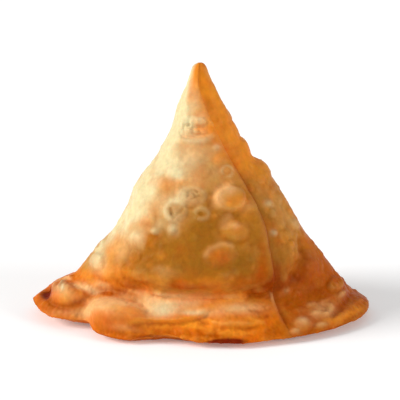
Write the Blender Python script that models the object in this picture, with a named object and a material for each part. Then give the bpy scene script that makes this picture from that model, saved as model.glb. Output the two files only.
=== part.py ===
"""Samosa: a cone of thin pastry round a filling, closed by one overlapping edge that runs down its
front, and pinched shut along the base, where the sealed lips flare out as a ruffled skirt.

Frame: +Z up, origin on the table at the middle of the footprint, -Y the front with the skirt, +X the
right-hand corner. Lengths are in metres and angles in degrees. An angle round the axis counts from
straight ahead: 90 is the right corner, 180 the back and -90 the left corner.
"""

from typing import NamedTuple

import bmesh
import bpy
import numpy as np

MM = 0.001

# Driving dimensions of the whole samosa
WIDTH = 100 * MM  # left corner to right corner
HEIGHT = 76 * MM
FRONT = 27.5 * MM  # axis to the front of the skirt
BACK = 28 * MM  # axis to the back
DOUGH = 1.5 * MM  # one layer of pastry

# How finely the crust is faceted
ROW_SPACING = 2.3 * MM
CORNER_COLUMNS = 42  # from the wrap's free edge to the left corner
BACK_COLUMNS = 17  # from a corner to the back pleat
SIDE_COLUMNS = 18  # from the right corner to the wrap's free edge


class Station(NamedTuple):
    """A ring of the crust. The heights in the middle and at the two corners are shares of HEIGHT,
    left and right of half the WIDTH, front of FRONT and back of BACK. A corner exponent of 1 is
    round, 2 is pinched to a point. Edge is the angle where the wrap's free edge crosses the ring."""

    name: str
    height: float
    left_height: float
    right_height: float
    left: float
    right: float
    front: float
    back: float
    left_corner: float
    right_corner: float
    edge: float


STATIONS = (
    Station("point", 1.000, 1.000, 1.000, 0.016, 0.012, 0.02, 0.02, 1.00, 1.00, -12),
    Station("tip", 0.986, 0.986, 0.986, 0.046, 0.034, 0.06, 0.06, 1.00, 1.00, -12),
    Station("neck", 0.930, 0.930, 0.930, 0.078, 0.068, 0.12, 0.12, 1.00, 1.00, -8),
    Station("collar", 0.840, 0.840, 0.840, 0.130, 0.138, 0.21, 0.22, 1.00, 1.00, 12),
    Station("upper", 0.740, 0.740, 0.740, 0.178, 0.208, 0.31, 0.33, 1.00, 1.00, 26),
    Station("shoulder", 0.640, 0.640, 0.640, 0.254, 0.306, 0.43, 0.46, 1.05, 1.05, 34),
    Station("high_belly", 0.540, 0.540, 0.540, 0.368, 0.438, 0.54, 0.60, 1.08, 1.08, 37),
    Station("waist", 0.445, 0.450, 0.450, 0.428, 0.522, 0.65, 0.72, 1.10, 1.10, 39),
    Station("belly", 0.345, 0.350, 0.350, 0.512, 0.614, 0.74, 0.83, 1.15, 1.15, 37.5),
    Station("low_belly", 0.240, 0.252, 0.252, 0.645, 0.720, 0.78, 0.93, 1.25, 1.25, 34.5),
    Station("crease", 0.158, 0.160, 0.165, 0.765, 0.825, 0.70, 0.99, 1.40, 1.30, 30),
    Station("skirt", 0.096, 0.126, 0.094, 0.885, 0.890, 0.84, 1.00, 1.30, 1.05, 30),
    Station("rim_top", 0.032, 0.068, 0.050, 1.000, 1.000, 1.00, 0.96, 1.25, 1.00, 31),
    Station("rim_bottom", 0.020, 0.058, 0.039, 0.985, 0.985, 0.97, 0.91, 1.25, 0.98, 31),
    Station("underside", -0.008, 0.026, 0.012, 0.800, 0.800, 0.78, 0.80, 1.30, 1.00, 31),
    Station("sole", -0.008, -0.008, -0.008, 0.400, 0.400, 0.40, 0.40, 1.10, 1.00, 31),
    Station("middle", -0.008, -0.008, -0.008, 0.060, 0.060, 0.06, 0.06, 1.00, 1.00, 31),
)
STATION_NAMES = [station.name for station in STATIONS]
CORNER_SHARPNESS = 5  # how closely the corners' own heights keep to the corners


class Puff(NamedTuple):
    """A pillow of trapped steam: where it is across and up, its half sizes, and its rise."""

    name: str
    across: float
    up: float
    half_width: float
    half_height: float
    rise: float


PUFFS = (
    Puff("skirt_left", -24.2 * MM, 7.0 * MM, 8.6 * MM, 5.0 * MM, 2.8 * MM),
    Puff("left_corner", -40.5 * MM, 8.8 * MM, 4.8 * MM, 4.0 * MM, 2.8 * MM),
    Puff("skirt_middle", 3 * MM, 11 * MM, 14 * MM, 3.0 * MM, 1.0 * MM),
    Puff("skirt_right", 40 * MM, 9.5 * MM, 5.5 * MM, 4.0 * MM, 1.3 * MM),
    Puff("front_large", 9.2 * MM, 40 * MM, 5.4 * MM, 5.0 * MM, 1.4 * MM),
    Puff("front_low", 5.2 * MM, 25 * MM, 5.6 * MM, 4.3 * MM, 1.1 * MM),
    Puff("front_left", -17.5 * MM, 28.6 * MM, 6.0 * MM, 5.5 * MM, 1.0 * MM),
    Puff("right_shoulder", 19.5 * MM, 46.4 * MM, 4.8 * MM, 4.6 * MM, 1.3 * MM),
)


class Ruffle(NamedTuple):
    """A wave of the skirt: its middle and half width round the axis, and how far it moves the rim
    outwards and upwards."""

    name: str
    angle: float
    half_angle: float
    reach: float
    lift: float


RUFFLES = (
    Ruffle("left_notch", -48, 14, -4.8 * MM, 0.8 * MM),
    Ruffle("left_pillow", -27, 10, 0.6 * MM, -0.3 * MM),
    Ruffle("left_hollow", -12, 17, -2.0 * MM, 0.8 * MM),
    Ruffle("front_fold", 14, 12, 0.8 * MM, -0.2 * MM),
    Ruffle("under_edge", 36, 9, -0.4 * MM, 0.4 * MM),
    Ruffle("right_lobe", 54, 25, 3.9 * MM, -1.0 * MM),
)
# The upper lip of the seal ends this far inside the rim and stands this much above the lower lip
LIP_SETBACK = 3.6 * MM
LIP_HEIGHT = 0.9 * MM
LIP_SLOPE = 1.2 * MM
LIP_HALF_LENGTH = 34 * MM

# The share of the wrap's edge that is left where the skirt is pinched, and the heights between which
# the pinch fades out
PRESSED_SHARE = 0.35
PRESSED_HEIGHTS = (12 * MM, 17 * MM)

# The pleat in the middle of the back: where it is, and how far up it fades out
PLEAT_ANGLE = 172
PLEAT_TOP = 30 * MM

# Columns across a fold: distance from its edge towards the covered side, and the share of a
# dough's thickness that stands there
FOLD_COLUMNS = ((1.5 * MM, 0.0), (0.3 * MM, 0.1), (-0.2 * MM, 0.9), (-1.0 * MM, 1.0), (-2.6 * MM, 1.0))
FOLD_ROOM = 9 * MM  # a fold narrows where the ring's reach to its corner is under this

SHARP_EDGE = 50  # the angle between two facets past which their edge is shaded sharp
CRUST_COLOUR = (0.62, 0.27, 0.055, 1.0)
CRUST_ROUGHNESS = 0.42


def smooth_step(low, high, value):
    share = np.clip((value - low) / (high - low), 0.0, 1.0)
    return share * share * (3.0 - 2.0 * share)


def station_values(place):
    """The stations' numbers at a place along them, by a smooth curve through every station."""
    values = np.array([station[1:] for station in STATIONS])
    before = int(np.clip(np.floor(place), 0, len(values) - 2))
    share = place - before
    around = [int(np.clip(before + step, 0, len(values) - 1)) for step in (-1, 0, 1, 2)]
    p0, p1, p2, p3 = values[around]
    return 0.5 * (
        2 * p1
        + (p2 - p0) * share
        + (2 * p0 - 5 * p1 + 4 * p2 - p3) * share**2
        + (3 * p1 - p0 - 3 * p2 + p3) * share**3
    )


def ring_points(values, angles):
    """The points of the bare ring with those station values, at those angles."""
    height, left_height, right_height, left, right, front, back, left_corner, right_corner, _ = values
    side = np.sin(np.radians(angles))
    ahead = np.cos(np.radians(angles))
    corner = np.where(side < 0, left_corner, right_corner)
    depth = np.sign(ahead) * np.abs(ahead) ** corner
    x = np.where(side < 0, left, right) * WIDTH / 2 * side
    y = -depth * np.where(ahead > 0, front * FRONT, back * BACK)
    corner_height = np.where(side < 0, left_height, right_height)
    z = HEIGHT * (height + (corner_height - height) * np.abs(side) ** CORNER_SHARPNESS)
    return np.stack([x, y, z], axis=-1)


def fold_angles(values, edge, room):
    """The angles of the columns across a fold whose edge is at that angle."""
    step = 0.5
    ends = ring_points(values, np.array([edge - step, edge + step]))
    length_per_degree = np.linalg.norm(ends[1] - ends[0]) / (2 * step)
    return [edge + distance * room / length_per_degree for distance, _ in FOLD_COLUMNS]


def span(first, last, count):
    """Evenly spaced angles from first towards last, both left out."""
    return list(np.linspace(first, last, count + 1)[1:-1])


def row_columns(place):
    """A row's angles, and the share of a dough's thickness that stands at each."""
    values = station_values(place)
    _, _, _, left, right, _, _, _, _, edge = values
    room = min(1.0, min(left, right) * WIDTH / 2 / FOLD_ROOM)
    wrap = fold_angles(values, edge, room)
    pleat = fold_angles(values, PLEAT_ANGLE - 360, room)
    lifts = [share for _, share in FOLD_COLUMNS]

    front = [*span(wrap[-1], -90, CORNER_COLUMNS), -90]
    back_left = span(-90, pleat[0], BACK_COLUMNS)
    back_right = [*span(pleat[-1], -270, BACK_COLUMNS), -270]
    covered = span(-270, wrap[0] - 360, SIDE_COLUMNS)

    angles = np.array([*wrap, *front, *back_left, *pleat, *back_right, *covered])
    fading = [1 - smooth_step(0, len(front) - 1, index) for index in range(len(front))]
    wrap_lift = np.zeros(len(angles))
    wrap_lift[: len(wrap) + len(front)] = [*lifts, *fading]

    first = len(wrap) + len(front) + len(back_left)
    fading = [1 - smooth_step(0, len(back_right) - 1, index) for index in range(len(back_right))]
    pleat_lift = np.zeros(len(angles))
    pleat_lift[first : first + len(pleat) + len(back_right)] = [*lifts, *fading]
    return angles, wrap_lift * room, pleat_lift * room


def row_places():
    """Places along the stations for the rows, spaced evenly along the middle of the front."""
    places = [0.0]
    for index in range(len(STATIONS) - 1):
        ends = [ring_points(station_values(index + step), np.array([0.0]))[0] for step in (0, 1)]
        rows = max(1, round(np.linalg.norm(ends[1] - ends[0]) / ROW_SPACING))
        places += [index + (row + 1) / rows for row in range(rows)]
    return np.array(places)


def outward(points):
    """Unit normals of a grid of points whose rows run down and whose columns run round."""
    down = np.gradient(points, axis=0)
    wrapped = np.concatenate([points[:, -1:], points, points[:, :1]], axis=1)
    around = np.gradient(wrapped, axis=1)[:, 1:-1]
    normals = np.cross(around, down)
    return normals / np.maximum(np.linalg.norm(normals, axis=2, keepdims=True), 1e-12)


def ruffle_skirt(points, places, angles):
    """Waves of the skirt, which grow from the crease to the rim and die out under it."""
    crease, rim_top, rim_bottom, sole = map(STATION_NAMES.index, ("crease", "rim_top", "rim_bottom", "sole"))
    share = smooth_step(crease, rim_top, places) * (1 - smooth_step(rim_bottom, sole, places))
    away = points[..., :2] / np.maximum(np.linalg.norm(points[..., :2], axis=2, keepdims=True), 1e-9)
    for ruffle in RUFFLES:
        off = (angles - ruffle.angle) / ruffle.half_angle
        wave = np.where(np.abs(off) < 1, np.cos(off * np.pi / 2) ** 2, 0) * share[:, None]
        points[..., :2] += away * (wave * ruffle.reach)[..., None]
        points[..., 2] += wave * ruffle.lift


def lip_rise(points, places):
    """The upper lip's height over the lower lip: a step that follows the rim at a set distance."""
    rim = points[np.searchsorted(places, STATION_NAMES.index("rim_top"))]
    inside = np.linalg.norm(points[..., :2] - rim[None, :, :2], axis=2)
    on_skirt = smooth_step(STATION_NAMES.index("crease"), STATION_NAMES.index("skirt"), places)
    above_rim = places <= STATION_NAMES.index("rim_top")
    reach = smooth_step(LIP_HALF_LENGTH, LIP_HALF_LENGTH * 0.8, np.abs(points[..., 0]))
    step = smooth_step(LIP_SETBACK - LIP_SLOPE, LIP_SETBACK, inside)
    return LIP_HEIGHT * step * reach * (on_skirt * above_rim)[:, None] * (points[..., 1] < 0)


def puff_rise(points, normals, puff):
    """How far a puff lifts each point. Its middle is the front point nearest to its place."""
    off = np.hypot(points[..., 0] - puff.across, points[..., 2] - puff.up)
    hidden = (normals[..., 1] > 0.1) | (normals[..., 2] < -0.3)
    middle = points.reshape(-1, 3)[np.argmin(off + hidden)]
    apart = points - middle
    above = np.hypot(apart[..., 1], apart[..., 2])
    radius = np.hypot(apart[..., 0] / puff.half_width, above / puff.half_height)
    return puff.rise * np.clip(1 - radius**2, 0, 1) ** 1.3


def crust_points():
    """The whole crust as a grid of points, from the tip down to the middle of the sole."""
    places = row_places()
    rows = [row_columns(place) for place in places]
    angles, wrap_lift, pleat_lift = (np.array(column) for column in zip(*rows))
    points = np.array([ring_points(station_values(p), a) for p, a in zip(places, angles)])
    ruffle_skirt(points, places, angles)

    normals = outward(points)
    on_top = 1 - smooth_step(STATION_NAMES.index("rim_top"), STATION_NAMES.index("underside"), places)
    low = 1 - smooth_step(PLEAT_TOP / 3, PLEAT_TOP, points[..., 2])
    pressed = PRESSED_SHARE + (1 - PRESSED_SHARE) * smooth_step(*PRESSED_HEIGHTS, points[..., 2])
    rise = DOUGH * (wrap_lift * pressed + pleat_lift * low) * on_top[:, None]
    rise += lip_rise(points, places)
    for puff in PUFFS:
        rise += puff_rise(points, normals, puff)
    return points + normals * rise[..., None]


def rest_on_table(points):
    """Flattens what would sink into the table, and centres the footprint on the origin."""
    points[..., 2] = np.maximum(points[..., 2], 0.0)
    flat = points.reshape(-1, 3)
    points[..., :2] -= (flat.min(axis=0) + flat.max(axis=0))[:2] / 2


def skinned(name, points):
    """A mesh over the grid of points, closed at its first and last rows."""
    shape = bmesh.new()
    grid = [[shape.verts.new(point) for point in row] for row in points]
    columns = len(grid[0])
    for upper, lower in zip(grid, grid[1:]):
        for column in range(columns):
            after = (column + 1) % columns
            shape.faces.new((upper[column], upper[after], lower[after], lower[column]))
    for row, turn in ((grid[0], -1), (grid[-1], 1)):
        shape.faces.new(row[::turn])
    bmesh.ops.triangulate(shape, faces=[face for face in shape.faces if len(face.verts) > 4])
    bmesh.ops.recalc_face_normals(shape, faces=shape.faces)
    mesh = bpy.data.meshes.new(name)
    shape.to_mesh(mesh)
    shape.free()
    return mesh


def crust_material():
    material = bpy.data.materials.new("fried_crust")
    material.use_nodes = True
    surface = material.node_tree.nodes["Principled BSDF"]
    surface.inputs["Base Color"].default_value = CRUST_COLOUR
    surface.inputs["Roughness"].default_value = CRUST_ROUGHNESS
    surface.inputs["Metallic"].default_value = 0.0
    return material


def main():
    for old in list(bpy.data.objects):
        bpy.data.objects.remove(old)
    collection = bpy.data.collections.new("samosa")
    bpy.context.scene.collection.children.link(collection)

    points = crust_points()
    rest_on_table(points)
    mesh = skinned("pastry", points)
    mesh.shade_smooth()
    mesh.set_sharp_from_angle(angle=np.radians(SHARP_EDGE))
    mesh.materials.append(crust_material())
    collection.objects.link(bpy.data.objects.new("pastry", mesh))


main()
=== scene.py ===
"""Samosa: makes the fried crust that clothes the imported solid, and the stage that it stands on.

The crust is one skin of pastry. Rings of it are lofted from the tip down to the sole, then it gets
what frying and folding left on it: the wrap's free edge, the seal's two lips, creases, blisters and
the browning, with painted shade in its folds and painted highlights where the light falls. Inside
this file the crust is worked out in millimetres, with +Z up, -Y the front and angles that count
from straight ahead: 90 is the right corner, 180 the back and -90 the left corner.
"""

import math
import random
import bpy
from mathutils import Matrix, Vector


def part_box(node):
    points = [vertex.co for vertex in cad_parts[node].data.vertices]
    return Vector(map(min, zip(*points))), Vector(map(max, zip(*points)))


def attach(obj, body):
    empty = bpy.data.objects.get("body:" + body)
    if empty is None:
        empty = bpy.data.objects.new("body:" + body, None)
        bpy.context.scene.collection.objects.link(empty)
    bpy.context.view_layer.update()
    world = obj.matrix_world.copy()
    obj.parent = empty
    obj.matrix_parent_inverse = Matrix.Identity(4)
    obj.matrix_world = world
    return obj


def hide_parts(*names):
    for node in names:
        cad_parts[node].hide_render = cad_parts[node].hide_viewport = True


bl_info = {
    "name": "Samosa",
    "version": (1, 0, 0),
    "blender": (4, 5, 0),
    "location": "3D Viewport > Sidebar > Samosa",
    "description": "A fried samosa with a blistered crust and a pinched seam, on a studio floor",
    "category": "Add Mesh",
}

from typing import NamedTuple

import bpy
import numpy as np
from bpy.props import FloatProperty, FloatVectorProperty, IntProperty, PointerProperty
from mathutils import Vector, noise

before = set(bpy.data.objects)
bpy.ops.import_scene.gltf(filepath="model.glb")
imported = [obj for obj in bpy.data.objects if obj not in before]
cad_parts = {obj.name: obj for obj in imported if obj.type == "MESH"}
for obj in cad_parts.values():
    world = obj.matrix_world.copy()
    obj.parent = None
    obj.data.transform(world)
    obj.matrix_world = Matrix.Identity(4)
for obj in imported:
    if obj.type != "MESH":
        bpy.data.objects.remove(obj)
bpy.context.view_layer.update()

NODE = "pastry"
BODY = "root"
SOLID_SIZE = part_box(NODE)[1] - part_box(NODE)[0]
MM = 0.001

# ---------------------------------------------------------------------------------------------
# The bare shape: rings from the tip to the middle of the sole


class Station(NamedTuple):
    """A ring of the crust. The heights in the middle and at the two corners are shares of the
    samosa's height, left and right of half its width, front and back of its reach that way. A
    corner exponent of 1 is round, 2 is pinched to a point. Edge is the angle where the wrap's free
    edge crosses the ring."""

    name: str
    height: float
    left_height: float
    right_height: float
    left: float
    right: float
    front: float
    back: float
    left_corner: float
    right_corner: float
    edge: float


STATIONS = (
    Station("point", 1.000, 1.000, 1.000, 0.016, 0.012, 0.02, 0.02, 1.00, 1.00, -12),
    Station("tip", 0.986, 0.986, 0.986, 0.046, 0.034, 0.06, 0.06, 1.00, 1.00, -12),
    Station("neck", 0.930, 0.930, 0.930, 0.078, 0.068, 0.12, 0.12, 1.00, 1.00, -8),
    Station("collar", 0.840, 0.840, 0.840, 0.130, 0.138, 0.21, 0.22, 1.00, 1.00, 12),
    Station("upper", 0.740, 0.740, 0.740, 0.178, 0.208, 0.31, 0.33, 1.00, 1.00, 26),
    Station("shoulder", 0.640, 0.640, 0.640, 0.254, 0.306, 0.43, 0.46, 1.05, 1.05, 34),
    Station("high_belly", 0.540, 0.540, 0.540, 0.368, 0.438, 0.54, 0.60, 1.08, 1.08, 37),
    Station("waist", 0.445, 0.450, 0.450, 0.428, 0.522, 0.65, 0.72, 1.10, 1.10, 39),
    Station("belly", 0.345, 0.350, 0.350, 0.512, 0.614, 0.74, 0.83, 1.15, 1.15, 37.5),
    Station("low_belly", 0.240, 0.252, 0.252, 0.645, 0.720, 0.78, 0.93, 1.25, 1.25, 34.5),
    Station("crease", 0.158, 0.160, 0.165, 0.765, 0.825, 0.70, 0.99, 1.40, 1.30, 30),
    Station("skirt", 0.096, 0.126, 0.094, 0.885, 0.890, 0.84, 1.00, 1.30, 1.05, 30),
    Station("rim_top", 0.032, 0.068, 0.050, 1.000, 1.000, 1.00, 0.96, 1.25, 1.00, 31),
    Station("rim_bottom", 0.020, 0.058, 0.039, 0.985, 0.985, 0.97, 0.91, 1.25, 0.98, 31),
    Station("underside", -0.008, 0.026, 0.012, 0.800, 0.800, 0.78, 0.80, 1.30, 1.00, 31),
    Station("sole", -0.008, -0.008, -0.008, 0.400, 0.400, 0.40, 0.40, 1.10, 1.00, 31),
    Station("middle", -0.008, -0.008, -0.008, 0.060, 0.060, 0.06, 0.06, 1.00, 1.00, 31),
)
PLACE = {station.name: place for place, station in enumerate(STATIONS)}
CORNER_SHARPNESS = 5  # how closely the corners' own heights keep to the corners
FRONT_SHARE = 0.480  # of the samosa's depth, from its axis to the front of the skirt
BACK_SHARE = 0.489  # and from its axis to its back

# How fine the skin is
ROW_SPACING = 0.42
SKIRT_SPACING = 0.33
SOLE_SPACING = 1.4
SOLE_ROWS = 20  # rows in the middle of the sole, which have few columns
WRAP_COLUMNS = 300  # from the wrap's free edge to the left corner
COVERED_COLUMNS = 112  # from the right corner to the wrap's free edge
BACK_COLUMNS = 44  # from a corner to the back pleat

# Columns across a fold: distance from its edge towards the covered side, and the share of a
# dough's thickness that stands there. The face under the edge is cut back a little.
FOLD = (
    (1.6, 0.0),
    (0.7, 0.0),
    (0.15, 0.02),
    (-0.15, 0.1),
    (-0.12, 0.4),
    (0.0, 0.68),
    (-0.05, 0.87),
    (-0.3, 0.98),
    (-0.7, 1.03),
    (-1.2, 1.02),
    (-1.8, 1.0),
)
FOLD_EDGE = 5  # which of them is at the edge itself
FOLD_ROOM = 9  # a fold narrows where the ring's reach to its corner is under this
PLEAT_ANGLE = 172
PLEAT_TOP = 30


class Ruffle(NamedTuple):
    """A wave of the skirt: its middle and half width round the axis, and how far it moves the rim
    outwards and upwards."""

    name: str
    angle: float
    half_angle: float
    reach: float
    lift: float


RUFFLES = (
    Ruffle("left_notch", -48, 14, -4.8, 0.8),
    Ruffle("left_pillow", -27, 10, 0.6, -0.3),
    Ruffle("left_hollow", -12, 17, -2.0, 0.8),
    Ruffle("front_fold", 14, 12, 0.8, -0.2),
    Ruffle("under_edge", 36, 9, -0.4, 0.4),
    Ruffle("right_lobe", 54, 25, 3.9, -1.0),
)


def smooth_step(low, high, value):
    share = np.clip((value - low) / (high - low), 0.0, 1.0)
    return share * share * (3.0 - 2.0 * share)


def station_values(places):
    """The stations' numbers at places along them, by a smooth curve through every station."""
    values = np.array([station[1:] for station in STATIONS])
    places = np.asarray(places, float)
    before = np.clip(np.floor(places).astype(int), 0, len(values) - 2)
    share = (places - before)[..., None]
    p0, p1, p2, p3 = (values[np.clip(before + step, 0, len(values) - 1)] for step in (-1, 0, 1, 2))
    return 0.5 * (
        2 * p1
        + (p2 - p0) * share
        + (2 * p0 - 5 * p1 + 4 * p2 - p3) * share**2
        + (3 * p1 - p0 - 3 * p2 + p3) * share**3
    )


class Sizes(NamedTuple):
    """The samosa's driving sizes in millimetres."""

    half_width: float
    height: float
    front: float
    back: float
    dough: float


def ring_points(sizes, values, angles):
    """The bare ring's points for those station values, at those angles."""
    height, left_height, right_height, left, right, front, back, left_corner, right_corner, _ = (
        values[..., column, None] for column in range(values.shape[-1])
    )
    side = np.sin(np.radians(angles))
    ahead = np.cos(np.radians(angles))
    corner = np.where(side < 0, left_corner, right_corner)
    depth = np.sign(ahead) * np.abs(ahead) ** corner
    x = np.where(side < 0, left, right) * sizes.half_width * side
    y = -depth * np.where(ahead > 0, front * sizes.front, back * sizes.back)
    corner_height = np.where(side < 0, left_height, right_height)
    z = sizes.height * (height + (corner_height - height) * np.abs(side) ** CORNER_SHARPNESS)
    return np.stack([x, y, z], axis=-1)


def row_places(sizes):
    """Places along the stations for the rows, by the length of the middle of the front."""
    places = [0.0]
    for index in range(len(STATIONS) - 1):
        ends = ring_points(sizes, station_values([index, index + 1]), np.zeros((2, 1)))[:, 0]
        spacing = ROW_SPACING if index < PLACE["low_belly"] else SKIRT_SPACING
        if index >= PLACE["underside"]:
            spacing = SOLE_SPACING
        rows = max(2, round(np.linalg.norm(ends[1] - ends[0]) / spacing))
        places += [index + (row + 1) / rows for row in range(rows)]
    return np.array(places)


def fold_angles(sizes, values, edge, room):
    """The angles of the columns across a fold whose edge is at that angle."""
    step = 0.5
    ends = ring_points(sizes, values, np.array([edge - step, edge + step]))
    length_per_degree = np.linalg.norm(ends[1] - ends[0]) / (2 * step)
    return [edge + distance * room / length_per_degree for distance, _ in FOLD]


def span(first, last, count):
    """Evenly spaced angles from first towards last, both left out."""
    return list(np.linspace(first, last, count + 1)[1:-1])


def row_columns(sizes, values):
    """A ring's angles, and the share of a dough's thickness that stands at each for the wrap's edge
    and for the back pleat."""
    _, _, _, left, right, _, _, _, _, edge = values
    room = min(1.0, min(left, right) * sizes.half_width / FOLD_ROOM)
    wrap = fold_angles(sizes, values, edge, room)
    pleat = fold_angles(sizes, values, PLEAT_ANGLE - 360, room)
    front = [*span(wrap[-1], -90, WRAP_COLUMNS), -90]
    back_left = span(-90, pleat[0], BACK_COLUMNS)
    back_right = [*span(pleat[-1], -270, BACK_COLUMNS), -270]
    covered = span(-270, wrap[0] - 360, COVERED_COLUMNS)
    angles = np.array([*wrap, *front, *back_left, *pleat, *back_right, *covered])

    lifts = [share for _, share in FOLD]
    wrap_lift = np.zeros(len(angles))
    fading = 1 - smooth_step(0, 1, np.linspace(0, 1, len(front)))
    wrap_lift[: len(wrap) + len(front)] = [*lifts, *fading]
    first = len(wrap) + len(front) + len(back_left)
    pleat_lift = np.zeros(len(angles))
    fading = 1 - smooth_step(0, 1, np.linspace(0, 1, len(back_right)))
    pleat_lift[first : first + len(pleat) + len(back_right)] = [*lifts, *fading]
    return angles, wrap_lift * room, pleat_lift * room


def outward(points):
    """Unit normals of a grid of points whose rows run down and whose columns run round."""
    down = np.gradient(points, axis=0)
    wrapped = np.concatenate([points[:, -1:], points, points[:, :1]], axis=1)
    around = np.gradient(wrapped, axis=1)[:, 1:-1]
    normals = np.cross(around, down)
    return normals / np.maximum(np.linalg.norm(normals, axis=2, keepdims=True), 1e-12)


def ruffle_skirt(points, places, angles):
    """Waves of the skirt, which grow from the crease to the rim and die out under it."""
    share = smooth_step(PLACE["crease"], PLACE["rim_top"], places)
    share *= 1 - smooth_step(PLACE["rim_bottom"], PLACE["sole"], places)
    away = points[..., :2] / np.maximum(np.linalg.norm(points[..., :2], axis=2, keepdims=True), 1e-9)
    for ruffle in RUFFLES:
        off = (angles - ruffle.angle) / ruffle.half_angle
        wave = np.where(np.abs(off) < 1, np.cos(off * np.pi / 2) ** 2, 0) * share[:, None]
        points[..., :2] += away * (wave * ruffle.reach)[..., None]
        points[..., 2] += wave * ruffle.lift


# ---------------------------------------------------------------------------------------------
# What frying and folding left on the skin, and the light and shade painted on it. Places are across and
# up as seen from the front, and behind says that the nearest point of the back is meant. All sizes are
# in millimetres.


class Blister(NamedTuple):
    """A bubble in the dough. Its kind is one of SHAPES."""

    kind: str
    across: float
    up: float
    half_width: float
    half_height: float
    rise: float
    behind: bool = False


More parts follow.
